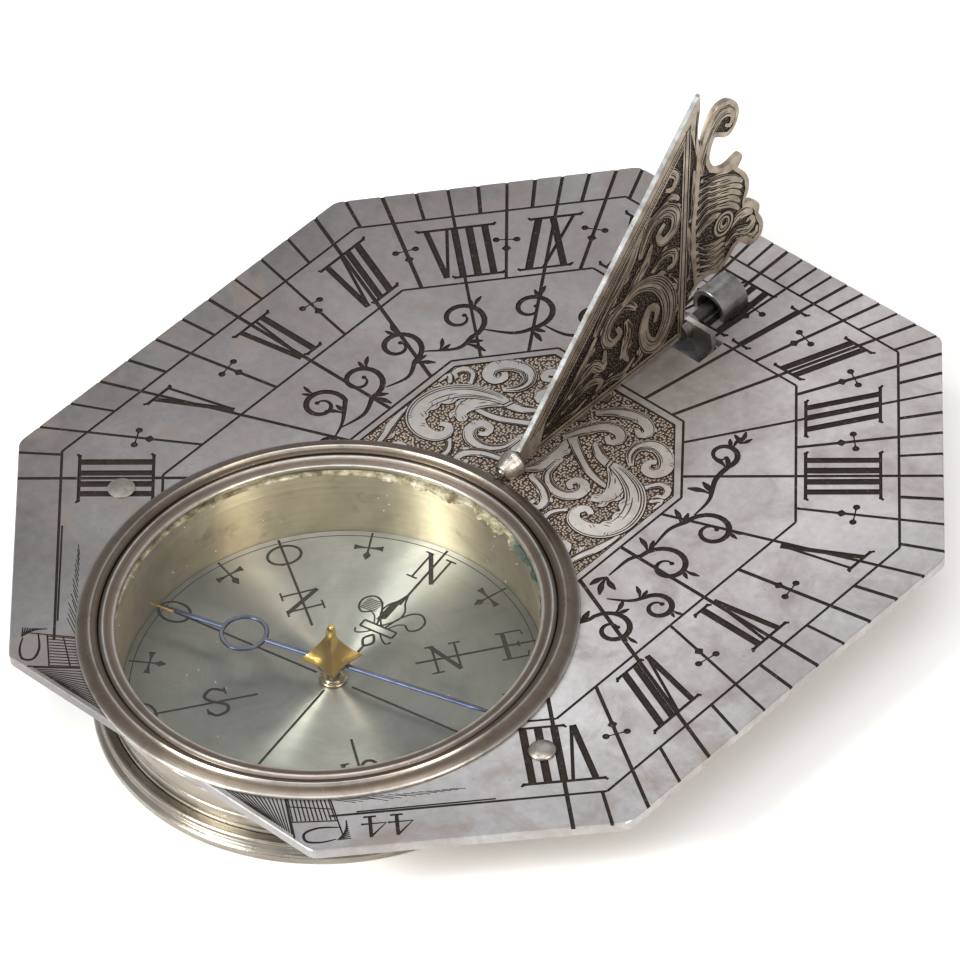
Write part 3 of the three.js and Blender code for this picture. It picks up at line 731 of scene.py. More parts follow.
def rounded(profile, radius):
    """A closed profile with its sharp corners eased."""
    eased, n = [], len(profile)
    for i, (x, y) in enumerate(profile):
        ax, ay = profile[i - 1]
        bx, by = profile[(i + 1) % n]
        first, second = math.dist((x, y), (ax, ay)), math.dist((x, y), (bx, by))
        r1, r2 = min(radius, first * 0.4), min(radius, second * 0.4)
        start = (x + (ax - x) / first * r1, y + (ay - y) / first * r1)
        end = (x + (bx - x) / second * r2, y + (by - y) / second * r2)
        middle = ((start[0] + end[0]) / 4 + x / 2, (start[1] + end[1]) / 4 + y / 2)
        eased += [start, middle, end]
    return eased


def flat_place(u, v, w):
    """Outline in x and y, thickness upwards."""
    return (u, v, w)


def blade_place(u, v, w):
    """Outline in y and z, thickness towards the east."""
    return (w, u, v)


def along_place(u, v, w):
    """Outline in x and z, thickness towards the south."""
    return (u, -w, v)


def fit_out(piece, body, slot, *nodes):
    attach(piece, body)
    if nodes:
        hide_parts(*nodes)


# ---------------------------------------------------------------- the dial's drawing

EAST_CORNERS = [(14.4, -34.8), (29, -19.2), (29, 13.4), (14.4, 30.3)]
OCTAGON = [*EAST_CORNERS, *[(-x, y) for x, y in reversed(EAST_CORNERS)]]
TICK_BAND, NUMERAL_BAND = 3.1, 10.3
NUMERAL_MIDDLE, CROSS_INSET = 7.0, 6.2


def inset(distance):
    return grown(OCTAGON, -distance)


def hour_direction(hour):
    """Unit direction of an hour line; hour is counted from noon, afternoon positive."""
    turn = math.radians(15 * hour)
    x, y = math.sin(LATITUDE) * math.sin(turn), math.cos(turn)
    length = math.hypot(x, y)
    return x / length, y / length


def crossing(direction, ring):
    """Where a ray from the dial centre leaves a ring, and the outward normal there."""
    dx, dy = direction
    for (ax, ay), (bx, by) in zip(ring, [*ring[1:], ring[0]]):
        ex, ey = bx - ax, by - ay
        den = dx * ey - dy * ex
        if abs(den) < 1e-9:
            continue
        reach = (ax * ey - ay * ex) / den
        share = (ax * dy - ay * dx) / den
        if reach > 0 and -1e-9 <= share <= 1:
            run = math.hypot(ex, ey)
            return (dx * reach, dy * reach), (ey / run, -ex / run)
    raise ValueError("the ray misses the ring")


HEIGHT = 2.62  # half the height of a numeral
BAR = 0.56
PITCH = 1.08  # from one bar to the next
SERIF = 0.24
OVERHANG = 0.35


def numeral_strokes(text):
    """Strokes of a numeral, centred: (from, to, width) in (along, up)."""
    strokes, x, kinds = [], 0.0, []
    for letter in text:
        start = x
        if letter == "I":
            strokes.append(((x + BAR / 2, -HEIGHT), (x + BAR / 2, HEIGHT), BAR))
            x += PITCH
        elif letter == "V":
            strokes.append(((x + 0.25, HEIGHT), (x + 1.12, -HEIGHT + 0.05), 0.46))
            strokes.append(((x + 1.14, -HEIGHT + 0.05), (x + 1.72, HEIGHT), 0.25))
            x += 2.05
        else:
            strokes.append(((x + 0.25, HEIGHT), (x + 1.75, -HEIGHT), 0.50))
            strokes.append(((x + 0.25, -HEIGHT), (x + 1.75, HEIGHT), 0.25))
            x += 2.35
        kinds.append((letter, start, x - (PITCH - BAR)))
    end = kinds[-1][2]
    strokes.append(((-OVERHANG, HEIGHT), (end + OVERHANG, HEIGHT), SERIF))
    standing = [(a, b) for letter, a, b in kinds if letter != "V"]
    if standing:
        strokes.append(((standing[0][0] - OVERHANG, -HEIGHT), (standing[-1][1] + OVERHANG, -HEIGHT), SERIF))
    return [((a[0] - end / 2, a[1]), (b[0] - end / 2, b[1]), w) for a, b, w in strokes]


def draw_numeral(face, text, hour):
    direction = hour_direction(hour)
    (ox, oy), (nx, ny) = crossing(direction, inset(NUMERAL_MIDDLE))
    lean = direction[0] * nx + direction[1] * ny
    ux, uy = ny, -nx

    def at(u, v):
        return (ox + ux * u + direction[0] / lean * v, oy + uy * u + direction[1] / lean * v)

    for a, b, width in numeral_strokes(text):
        nudge = rng.uniform(-0.05, 0.05)
        a, b = (a[0] + nudge, a[1]), (b[0] + nudge, b[1])
        face.line([at(*a), at(*b)], width * rng.uniform(0.92, 1.06), depth=0.10, rank=5)
        if a[1] == b[1]:
            for end, sign in ((a, -1), (b, 1)):
                curl = [at(end[0], end[1]), at(end[0] + sign * 0.12, end[1] + 0.10),
                        at(end[0] + sign * 0.20, end[1] + 0.20)]
                face.line(curl, 0.20, depth=0.10, rank=5)
                face.dot(*at(end[0], end[1]), 0.16, depth=0.10, rank=5, count=8)


def draw_cross(face, hour):
    """Half-hour mark: a bar with drop ends across the line, and a lozenge on it."""
    dx, dy = hour_direction(hour)
    (x, y), _ = crossing((dx, dy), inset(CROSS_INSET))
    for side in (-1, 1):
        arm = [(x + dy * side * s, y - dx * side * s) for s in (0, 0.3, 0.55, 0.75, 0.95)]
        widths = [0.12, 0.10, 0.16, 0.42, 0.18]
        face.line(arm, lambda t, w=widths: w[min(4, round(t * 4))], depth=0.09, rank=5)
        face.dot(*arm[3], 0.27, depth=0.09, rank=5, count=9)
    mx, my = x - dx * 0.95, y - dy * 0.95
    face.area([(mx + dx * 0.48, my + dy * 0.48), (mx - dy * 0.36, my + dx * 0.36),
               (mx - dx * 0.42, my - dy * 0.42), (mx + dy * 0.36, my - dx * 0.36)], 0.09, 1, 5)


def sprig(face, x, y, heading, size, hand, leaves=3):
    """A small stem that ends in comma-shaped leaves."""
    for k in range(leaves):
        turn = math.radians(heading + hand * (k - (leaves - 1) / 2) * 42)
        reach = size * (1.0 if k == leaves // 2 else 0.78)
        bend = turn + hand * 0.7
        tip = (x + reach * math.cos(turn) + 0.35 * reach * math.cos(bend),
               y + reach * math.sin(turn) + 0.35 * reach * math.sin(bend))
        middle = (x + 0.55 * reach * math.cos(turn), y + 0.55 * reach * math.sin(turn))
        spine = smooth([(x, y), middle, tip], 0.16 * size)
        face.line(spine, lambda t: size * (0.12 + 0.42 * math.sin(math.pi * min(1, t * 1.02)) ** 2 * t),
                  depth=0.08, rank=5)


# Shading cuts along a leaf: how far off its middle, as a share of its width, and from where to where.
SHADING = ((0.40, 0.06, 0.92), (-0.40, 0.10, 0.60), (0.27, 0.05, 0.62), (-0.28, 0.02, 0.34),
           (0.14, 0.04, 0.38), (-0.14, 0.30, 0.52), (0.0, 0.12, 0.72), (-0.21, 0.48, 0.80))
ABOVE_LEAVES = 9000  # a rank over every leaf


def acanthus(face, field, spine, body, lobes, hand, lines, finish_cut=1, raised=0):
    """A raised leafy scroll on a sunk ground: its lobes, its body, and the cuts that outline and shade it.
    body is its width along the spine. Each leaf lies over the ones drawn before it."""
    n = len(spine) - 1
    rank = 10 + len(face.cuts)
    cut = {"depth": 0.085, "finish": 1, "rank": rank, "inside": field}
    island = {"depth": 0.0, "finish": raised, "rank": rank + 1, "inside": field}
    vein = {"depth": 0.05, "finish": finish_cut, "rank": rank + 2, "inside": field}
    for share, size, angle in lobes:
        i = min(n - 1, max(1, round(share * n)))
        (ax, ay), (bx, by) = spine[i - 1], spine[i + 1]
        turn = math.atan2(by - ay, bx - ax) + math.radians(angle)
        bend = math.copysign(0.8, angle)
        x, y = spine[i]
        knots = [(x, y), (x + size * 0.6 * math.cos(turn), y + size * 0.6 * math.sin(turn)),
                 (x + size * (0.6 * math.cos(turn) + 0.4 * math.cos(turn - bend)),
                  y + size * (0.6 * math.sin(turn) + 0.4 * math.sin(turn - bend)))]
        lobe = smooth(knots, max(0.12, size * 0.14))
        fat = leaf_width(size * 0.60)
        face.line(lobe, lambda t, fat=fat: fat(t) + 0.17, **cut)
        face.line(lobe, fat, **island)
        for k in (-1, 1):
            side = [(px + 0.13 * k * size * math.sin(turn), py - 0.13 * k * size * math.cos(turn))
                    for px, py in lobe[2:-2]]
            if len(side) > 2:
                face.line(side, taper(0.07, 0.3), **vein)
    face.line(spine, lambda t: body(t) + 0.18, **cut)
    face.line(spine, body, **island)
    for offset, first, last in SHADING[:lines]:
        line = []
        for i in range(max(1, round(first * n)), max(3, round(last * n))):
            (ax, ay), (bx, by) = spine[i - 1], spine[i]
            run = math.hypot(bx - ax, by - ay) or 1
            shift = body(i / n) * offset * hand
            line.append((bx - (by - ay) / run * shift, by + (bx - ax) / run * shift))
        if len(line) > 2:
            face.line(line, taper(0.105, 0.3), **vein)


def swell(start, middle, end, peak=0.4):
    """A width that grows to the middle value and falls to the end value."""

    def width(t):
        if t < peak:
            return start + (middle - start) * math.sin(math.pi / 2 * t / peak)
        return end + (middle - end) * math.cos(math.pi / 2 * (t - peak) / (1 - peak))
    return width


def mirrored(half):
    """A line from its east half, taken north, and the same points in the west."""
    return [*half, *[(-x, y) for x, y in reversed(half)]]


def panel_frame(bottom):
    return mirrored([(10.95, bottom), (10.95, 6.35), (5.95, 12.2)])


def draw_panel(face):
    """The engraved panel about the noon line: a double frame, punched ground and mirrored acanthus."""
    bottom = -6.0
    inner = mirrored([(10.38, bottom), (10.38, 6.1), (5.7, 11.55)])
    field = face.area(inner, 0.06, 2, 1)
    for ring, width in ((panel_frame(bottom), 0.19), (inner, 0.13)):
        for a, b in zip(ring, ring[1:]):
            face.line([a, b], width, depth=0.08, rank=5)
    for side in (-1, 1):
        def leafy(lines, points, width, lobes=(), hand=1):
            turned = [(t, size, angle * side) for t, size, angle in lobes]
            acanthus(face, field, [(x * side, y) for x, y in smooth(points, 0.3)], width, turned, hand * side,
                     lines, finish_cut=3, raised=4)

        leafy(3, [(9.0, -4.2), (9.35, -2.4), (9.85, -0.9), (10.15, 0.8)], swell(0.3, 0.7, 0.1),
              [(0.35, 0.9, 55)])
        leafy(3, [(7.6, -4.4), (8.3, -3.2), (8.0, -2.2), (7.3, -2.3), (7.4, -2.9)], swell(0.3, 0.6, 0.3),
              [(0.4, 0.6, 50)])
        leafy(4, [(0.5, 5.6), (1.2, 7.2), (2.1, 8.4), (3.3, 8.5), (3.8, 7.8), (3.3, 7.3), (2.8, 7.7)],
              swell(0.5, 1.05, 0.35), [(0.34, 1.0, 60), (0.50, 0.9, 60), (0.66, 0.8, 60), (0.25, 0.8, -55)])
        leafy(4, [(0.6, 8.9), (1.6, 9.9), (3.0, 10.5), (4.3, 10.3), (4.9, 9.7), (4.5, 9.2), (4.0, 9.5)],
              swell(0.5, 1.05, 0.35), [(0.3, 0.9, 55), (0.5, 0.8, -60), (0.72, 0.7, 60)])
        leafy(5, [(6.1, 6.5), (5.35, 7.3), (5.25, 8.3), (6.1, 9.05), (7.35, 8.75), (8.15, 7.8), (7.9, 6.95),
                  (7.15, 6.85), (6.85, 7.5), (7.25, 7.9)], swell(0.35, 1.15, 0.4, 0.5),
              [(0.30, 0.9, -60), (0.46, 0.9, 60), (0.60, 0.8, 60), (0.72, 0.7, -50)], hand=-1)
        leafy(3, [(8.3, 5.4), (8.9, 6.35), (9.7, 6.3), (9.95, 5.6), (9.45, 5.3)], swell(0.3, 0.62, 0.3),
              hand=-1)
        leafy(2, [(9.5, 4.6), (10.05, 5.2), (10.2, 4.2)], swell(0.2, 0.45, 0.1), hand=-1)
        leafy(5, [(0.4, 1.4), (1.2, 2.6), (1.3, 4.2), (0.9, 5.6)], swell(0.4, 1.2, 0.3),
              [(0.45, 1.1, -50), (0.7, 1.0, -45)])
        leafy(4, [(1.9, 3.5), (2.1, 2.2), (3.1, 1.35), (4.4, 1.35), (5.15, 2.1), (4.9, 2.95), (4.15, 3.0),
                  (3.95, 2.4), (4.4, 2.15)], swell(0.35, 0.95, 0.35, 0.5),
              [(0.36, 0.9, -60), (0.52, 0.7, 60), (0.64, 0.7, -50)])
        leafy(3, [(1.3, 1.3), (2.7, 0.9), (3.8, 0.1), (3.9, -0.8), (3.2, -0.9), (3.2, -0.4)],
              swell(0.4, 0.7, 0.3), [(0.3, 0.7, -55), (0.55, 0.7, 60)])
        leafy(3, [(5.6, 0.4), (4.9, -0.6), (5.2, -1.9), (6.3, -2.3)], swell(0.2, 0.6, 0.15), [(0.5, 0.7, 60)])
        leafy(2, [(1.0, 6.0), (2.6, 5.0), (4.4, 4.15), (6.2, 3.85), (7.0, 4.1)], swell(0.75, 0.6, 0.25))
        leafy(3, [(2.6, 6.6), (3.9, 5.85), (5.2, 5.55)], swell(0.3, 0.75, 0.7))
        leafy(6, [(5.0, 5.7), (6.2, 5.0), (6.9, 4.0), (6.9, 3.0), (6.2, 2.2)], swell(0.7, 1.45, 0.25, 0.45),
              [(0.55, 1.2, 40), (0.72, 1.1, 45), (0.80, 0.9, -40)])
        leafy(6, [(5.0, 5.75), (6.4, 5.5), (8.0, 4.75), (9.1, 3.4), (9.45, 1.8), (8.95, 0.45), (7.8, -0.2),
                  (6.6, -0.05), (6.15, 0.7), (6.6, 1.35), (7.2, 1.1)], swell(0.55, 1.6, 0.4, 0.42),
              [(0.33, 1.5, -62), (0.44, 1.4, -62), (0.55, 1.2, -62), (0.68, 0.9, -60), (0.60, 0.8, 60)])
        for x in (4.55, 4.85):
            face.line([(side * x, 6.15), (side * (x + 0.2), 5.3)], 0.12, depth=0.09, finish=3,
                      rank=ABOVE_LEAVES)


def tendril(face, lead, centre, outer, start, sweep, leaves):
    """A pen scroll: a swelling stem that winds into a curl with a ball end, with comma leaves on its back."""
    coil = spiral(*centre, outer, 0.45, start, sweep)
    spine = [*smooth([*lead, coil[0]], 0.3)[:-1], *coil]
    face.line(spine, swell(0.12, 0.44, 0.13, 0.45), depth=0.085, rank=5)
    face.dot(*spine[-1], 0.19, depth=0.085, rank=5)
    for share, size, side in leaves:
        i = min(len(spine) - 2, max(1, round(share * (len(spine) - 1))))
        heading = math.degrees(math.atan2(spine[i + 1][1] - spine[i - 1][1],
                                          spine[i + 1][0] - spine[i - 1][0]))
        sprig(face, *spine[i], heading + side * 48, size, side, 2)


# Each pen scroll: the start of its stem, its curl's middle, radius, first bearing and sweep, and its leaves
# as (share of the way along, size, side).
SCROLLS = [
    ([(-12.0, -4.6), (-12.6, -3.2)], (-14.9, -2.9), 1.75, 60, 480, [(0.18, 1.1, 1), (0.45, 0.9, -1)]),
    ([(-12.3, -3.6), (-12.0, -1.6)], (-14.6, 0.7), 2.0, -20, 470, [(0.30, 1.2, -1), (0.5, 1.0, -1)]),
    ([(-12.7, 1.4), (-12.2, 3.2)], (-14.9, 5.0), 2.0, -10, 480, [(0.25, 1.2, -1), (0.5, 1.0, -1)]),
    ([(-13.2, 5.8), (-11.5, 7.6)], (-13.5, 10.0), 2.2, -25, 470,
     [(0.25, 1.3, -1), (0.48, 1.0, -1), (0.1, 1.0, 1)]),
    ([(-11.5, 10.2), (-9.4, 11.4)], (-10.3, 14.0), 2.0, -30, 460, [(0.25, 1.2, -1), (0.5, 1.0, -1)]),
    ([(-8.4, 13.3), (-6.4, 13.6)], (-6.2, 16.0), 1.7, -40, 450, [(0.3, 1.1, -1), (0.5, 0.9, -1)]),
    ([(-5.2, 14.2), (-3.4, 13.6)], (-2.6, 15.2), 1.1, -70, 400, [(0.3, 1.0, -1), (0.1, 1.0, 1)]),
    ([(12.2, -2.6), (12.2, -0.6)], (14.7, 0.6), 2.1, 190, -470, [(0.28, 1.2, 1), (0.5, 1.0, 1)]),
    ([(12.7, 1.4), (12.4, 3.4)], (14.8, 5.1), 2.0, 190, -480, [(0.25, 1.2, 1), (0.5, 1.0, 1)]),
    ([(12.8, 5.6), (12.6, 7.4), (11.6, 9.2)], (10.3, 11.4), 1.3, -30, 380,
     [(0.2, 1.4, 1), (0.4, 1.2, 1), (0.6, 1.0, -1)]),
    ([(13.0, -8.6), (13.8, -7.2)], (15.9, -6.4), 1.9, 190, -480,
     [(0.1, 1.4, 1), (0.3, 1.1, 1), (0.5, 0.9, 1)]),
    ([(13.6, -4.4), (15.0, -3.5)], (16.9, -2.8), 1.35, 170, -440, [(0.2, 1.0, 1), (0.5, 0.8, 1)]),
]
# Loose sprigs at the ends of the chains of scrolls: x, y, heading, size and hand.
SPRIGS = [(-12.0, -4.6, -80, 1.3, 1), (12.2, -2.8, -75, 1.4, 1), (13.0, -8.7, -60, 1.5, -1),
          (10.5, 13.0, 100, 1.0, 1), (-2.0, 13.2, -20, 1.1, -1)]


def draw_scrolls(face):
    """Leafy pen scrolls in the zone between the numerals and the panel."""
    for lead, centre, outer, start, sweep, leaves in SCROLLS:
        tendril(face, lead, centre, outer, start, sweep, leaves)
    for x, y, heading, size, hand in SPRIGS:
        sprig(face, x, y, heading, size, hand)


def draw_corner(face, side):
    """A small shaded tablet with a curl, in each south corner beside the bezel."""
    def at(x, y):
        return (side * x, y)

    def rule(a, b, width=0.09):
        face.line([at(*a), at(*b)], width, depth=0.06, rank=4)

    def between(a, b, t):
        return (a[0] + (b[0] - a[0]) * t, a[1] + (b[1] - a[1]) * t)

    near, far, low, high = (9.5, -32.25), (11.9, -30.4), (12.7, -34.65), (15.3, -32.55)
    rule(near, low, 0.14)
    rule(far, high, 0.11)
    rule(between(near, low, 0.62), between(far, high, 0.56), 0.12)
    rule(between(near, low, 0.25), between(far, high, 0.28), 0.10)
    for k in range(11):
        t = (k + 0.5) / 11
        rule(between(near, far, t), between(between(near, low, 0.60), between(far, high, 0.54), t), 0.10)
    for k in range(14):
        t = k / 13
        rule(between((5.9, -34.35), (9.5, -32.3), t), between((9.3, -34.45), (12.3, -34.5), t), 0.09)
    curl = [at(14.4, -31.9), at(13.3, -32.9), at(12.9, -33.9), at(13.5, -34.35), at(14.3, -33.8),
            at(14.9, -32.9)]
    face.line(smooth(curl, 0.2), taper(0.20, 0.4), depth=0.08, rank=5)
    for k in range(10):
        t = k / 9
        rule(between((14.2, -31.2), (15.6, -32.2), t), between((14.9, -31.9), (15.0, -32.9), t), 0.10)
    for k in range(16):
        t = k / 15
        start = between((12.2, -30.4), (17.6, -24.6), t)
        rule(start, between((13.4 + 0.6 * rng.random(), -29.6), (18.4, -23.9), t), 0.06)
    rule((14.2, -30.2), (20.6, -23.3), 0.14)


def draw_figure_44(face):
    """The latitude the dial is cut for, in the band beside its south-east edge, read from the outside."""
    along, across = (0.683, 0.730), (-0.730, 0.683)
    for x0, y0 in ((16.05, -30.45), (17.30, -29.15)):
        def at(u, v):
            return (x0 - along[0] * u + across[0] * v, y0 - along[1] * u + across[1] * v)

        face.line([at(0.22, 0.95), at(0.22, -0.95)], 0.26, depth=0.08, rank=5)
        face.line([at(0.22, -0.90), at(-0.85, 0.30), at(0.85, 0.30)], 0.17, depth=0.08, rank=5)
        face.line([at(-0.20, 0.95), at(0.66, 0.95)], 0.17, depth=0.08, rank=5)


MORNING = ["IIII", "V", "VI", "VII", "VIII", "IX", "X", "XI", "XII"]
AFTERNOON = ["VIII", "VII", "VI", "V", "IIII", "III", "II", "I"]


def draw_dial():
    """Everything cut in the plate: bands, hour lines, numerals, panel, scrolls, corners and scratches."""
    face = Engraver()
    for distance in (TICK_BAND, NUMERAL_BAND):
        ring = inset(distance)
        for a, b in zip(ring, [*ring[1:], ring[0]]):
            if max(a[1], b[1]) > -25:
                face.line([a, b], 0.20, rank=4)
    panel_edge = panel_frame(-12)
    edge, outer, inner = inset(-0.5), inset(TICK_BAND), inset(NUMERAL_BAND)
    for quarter in range(-32, 33):
        hour = quarter / 4
        way = hour_direction(hour)
        start, _ = crossing(way, edge)
        if quarter % 4 == 0:
            end, _ = crossing(way, panel_edge)
            if abs(hour) == 8:
                end = (way[0] * 22.0, way[1] * 22.0)
            if hour == 0:
                end = (0, 24.4)
        elif quarter % 2 == 0:
            end, _ = crossing(way, inner)
            draw_cross(face, hour)
        else:
            end, _ = crossing(way, outer)
        overshoot = rng.uniform(-0.05, 0.1)
        end = (end[0] - way[0] * overshoot, end[1] - way[1] * overshoot)
        face.line([start, end], 0.27 * rng.uniform(0.85, 1.15), rank=4)
    for k, text in enumerate(AFTERNOON):
        draw_numeral(face, text, 8 - k)
    for k, text in enumerate(MORNING):
        draw_numeral(face, text, k - 8)
    draw_panel(face)
    draw_scrolls(face)
    for side in (-1, 1):
        draw_corner(face, side)
    draw_figure_44(face)
    for _ in range(70):
        x, y = rng.uniform(-27, 27), rng.uniform(-20, 28)
        turn, length = rng.uniform(0, math.pi), rng.uniform(0.5, 2.2)
        if abs(x) > 11 or y > 12.5:
            tip = (x + length * math.cos(turn), y + length * math.sin(turn))
            face.line([(x, y), tip], taper(0.035, 0.2), depth=0.008, finish=0, rank=2)
    return face.cuts


def ring_round(corners, radius):
    """A polygon with its corners rounded."""
    points, n = [], len(corners)
    for i, (x, y) in enumerate(corners):
        ax, ay = corners[i - 1]
        bx, by = corners[(i + 1) % n]
        first, second = math.dist((x, y), (ax, ay)), math.dist((x, y), (bx, by))
        p = (x + (ax - x) / first * radius, y + (ay - y) / first * radius)
        q = (x + (bx - x) / second * radius, y + (by - y) / second * radius)
        for k in range(5):
            t = k / 4
            points.append(tuple((1 - t) ** 2 * a + 2 * t * (1 - t) * b + t * t * c
                                for a, b, c in zip(p, (x, y), q)))
    return points


def box_ring(x0, x1, y0, y1):
    return [(x0, y0), (x1, y0), (x1, y1), (x0, y1)]


def build_plate():
    compass, post = circle(0, AXIS_Y, 16.0, 144), circle(0, 0.55, 0.55, 24)
    cam_slot = box_ring(-2.75, 2.75, 17.45, 20.05)
    bowl_rivets = [circle(x, AXIS_Y, RIVET_HOLE, 24) for x in (-RIVET_REACH, RIVET_REACH)]
    spring_rivets = [circle(0, y, 0.5, 24) for y in (8, 10.5)]
    tenons = [box_ring(1.05, 1.55, 22.25, 23.35), box_ring(-1.55, -1.05, 22.25, 23.35)]
    holes = [compass, post, *bowl_rivets, cam_slot, *spring_rivets, *tenons]
    plate = carved("dial_plate_engraved", ring_round(OCTAGON, 0.5), holes, draw_dial(), [],
                   PLATE_UNDERSIDE, 0.0, 0.07, [SILVER, CUT, GROUND, FINE_CUT, PANEL], flat_place)
    fit_out(plate, "case", "silver", "dial_plate")


# ---------------------------------------------------------------- compass box

def build_box():
    """The drum, its base and foot moulding, and the flange with an ear at each rivet."""
    out, groove = WALL_OUTSIDE, WALL_OUTSIDE - 0.08
    outside = [(out, -6.5), (out, -5.4), (groove, -5.3), (groove, -5.15), (out, -5.05), (out, -4.35),
               (out - 0.1, -4.25), (out - 0.1, -4.12), (out, -4.02), (out, -2.95), (groove, -2.85),
               (groove, -2.7), (out, -2.6), (out, 0.0)]
    inside = [(15.3, 0.0), (15.3, -0.72), (BOWL_RADIUS, -0.72), (BOWL_RADIUS, -1.6),
              (BOWL_RADIUS - 0.03, -1.7), (BOWL_RADIUS, -1.8)]
    wall = [(BOWL_RADIUS, -6.5), *outside, *inside]
    outer_steps = 44  # of the eased profile
    piece = lathe("bowl_wall_turned", rounded(wall, 0.04), [WALL, BOX_SILVER], 192, ring=True,
                  band=lambda k: 1 if k < outer_steps else 0)
    fit_out(piece, "case", "golden_silver", "bowl_wall")

    base = [(0, BOX_BOTTOM)]
    for radius in (3.1, 9.1):
        base += [(radius - 0.1, BOX_BOTTOM), (radius, BOX_BOTTOM + 0.04), (radius + 0.1, BOX_BOTTOM)]
    base += [(out - 0.1, BOX_BOTTOM), (out, -6.9), (out, -6.55), (0, -6.55)]
    piece = lathe("base_plate_turned", base, [BOX_SILVER], 160)
    fit_out(piece, "case", "silver", "base_plate")

    foot = [(15.75, BOX_BOTTOM), (16.72, BOX_BOTTOM), (16.85, -6.85), (16.87, -6.6), (16.82, -6.4),
            (16.66, -6.28), (16.5, -6.2), (16.42, -6.05), (16.34, -5.95), (16.38, -5.84), (16.46, -5.74),
            (16.44, -5.62), (16.3, -5.52), (15.75, -5.5)]
    piece = lathe("foot_ring_turned", rounded(foot, 0.04), [BOX_SILVER], 192, ring=True)
    fit_out(piece, "case", "silver", "foot_ring")

    ear, rim = 1.8, 16.85
    meet = math.degrees(math.asin(ear / rim))
    outline = [*arc(19.8, 0, ear, -90, 90, 7.5), *arc(0, 0, rim, meet, 180 - meet, 2.5),
               *arc(-19.8, 0, ear, 90, 270, 7.5), *arc(0, 0, rim, 180 + meet, 360 - meet, 2.5)]
    rivet_holes = [circle(x, 0, RIVET_HOLE, 24) for x in (-RIVET_REACH, RIVET_REACH)]
    holes = [circle(0, 0, 15.75, 144), *rivet_holes]
    piece = carved("bowl_flange_filed", outline, holes, [], [], -1.45, -0.85, 0.08,
                   [BOX_SILVER], flat_place, COMPASS, 25)
    fit_out(piece, "case", "silver", "bowl_flange")


def build_rivets():
    """The pair beside the compass, and the flush pair that holds the leaf spring."""
    head = 0.98
    for name, x, dome in (("west", -RIVET_REACH, 0.16), ("east", RIVET_REACH, 0.40)):
        profile = [(0, -1.8), (0.5, -1.8), (0.78, -1.72), (0.9, -1.5), (0.6, -1.5), (0.6, 0.02),
                   (head, 0.03), (head, 0.06), (head * 0.93, dome * 0.45), (head * 0.75, dome * 0.75),
                   (head * 0.45, dome * 0.95), (0, dome)]
        piece = lathe(f"bowl_rivet_{name}_hammered", profile, [RIVET], 40, origin=(x, 0, PLATE_TOP), angle=40)
        fit_out(piece, "case", "silver", f"bowl_rivet_{name}")
    for name, y in (("south", 26.0), ("north", 28.5)):
        profile = [(0, -1.5), (0.4, -1.5), (0.62, -1.43), (0.75, -1.2), (0.45, -1.18), (0.45, -0.01),
                   (0, 0.0)]
        piece = lathe(f"spring_rivet_{name}_flush", profile, [RIVET], 32, origin=(0, y, PLATE_TOP), angle=40)
        fit_out(piece, "case", "silver", f"spring_rivet_{name}")


def build_bezel():
    """The bezel, the ring inside it that keeps the glass down, and the glass."""
    ridges = [(15.92, 0.05), (17.42, 0.05), (17.46, 0.11), (17.45, 0.20), (17.39, 0.27), (17.31, 0.30),
              (17.20, 0.38), (17.00, 0.46), (16.80, 0.51), (16.62, 0.54), (16.56, 0.57), (16.51, 0.66),
              (16.45, 0.71), (16.39, 0.68), (16.33, 0.58), (16.25, 0.54), (16.10, 0.51), (15.96, 0.46),
              (15.92, 0.42)]
    piece = lathe("bezel_ring_turned", ridges, [BEZEL], 256, ring=True, angle=60)
    fit_out(piece, "case", "tarnished_silver", "bezel_ring")
    keeper = [(14.72, 0.05), (15.86, 0.05), (15.86, 0.36), (15.80, 0.41), (15.68, 0.44), (15.60, 0.50),
              (15.54, 0.53), (15.47, 0.49), (15.40, 0.43), (15.20, 0.38), (15.00, 0.31), (14.92, 0.29),
              (14.86, 0.31), (14.79, 0.29), (14.73, 0.22), (14.72, 0.14)]
    piece = lathe("retaining_ring_turned", keeper, [KEEPER], 256, ring=True, angle=60)
    fit_out(piece, "case", "tarnished_silver", "retaining_ring")
    disc = [(0, -0.56), (15.15, -0.56), (15.23, -0.5), (15.23, -0.06), (15.15, 0.0), (0, 0.0)]
    piece = lathe("glass_disc", disc, [GLASS_BACK, GLASS], 192, band=lambda k: 1 if k == len(disc) - 2 else 0)
    fit_out(piece, "case", "glass", "glass")


def build_putty():
    """A crumbling fillet of putty under the glass, thickest on the north side."""
    count, points, faces = 420, [], []
    thickest, spread = 80, 50  # degrees from east, and to either side
    lumps = [rng.random() for _ in range(count)]
    for i in range(count):
        turn = 2 * math.pi * i / count
        thick = max(0.0, 1 - abs(math.degrees(turn) - thickest) / spread)
        lump = sum(lumps[(i + k) % count] * w for k, w in ((-2, 0.15), (-1, 0.2), (0, 0.3), (1, 0.2),
                                                           (2, 0.15)))
        reach = 14.79 - max(0.0, thick * (1.9 * lump - 0.62)) * 0.9
        drop = -0.70 - (0.10 + 0.9 * thick * lumps[i] * 0.5 if thick > 0 else 0.0)
        for radius, height in ((15.24, -0.66), (15.24, -0.61), (reach, -0.61), (reach + 0.03, drop),
                               (14.84, drop - 0.05)):
            points.append((radius * math.cos(turn), radius * math.sin(turn), height))
    for i in range(count):
        j = (i + 1) % count
        for k in range(5):
            m = (k + 1) % 5
            faces.append([5 * i + k, 5 * j + k, 5 * j + m, 5 * i + m])
    piece = mesh_object("glass_bedding_putty", points, faces, [PUTTY], COMPASS, smooth_angle=50)
    fit_out(piece, "case", "putty", "glass_bedding")


# ---------------------------------------------------------------- compass rose

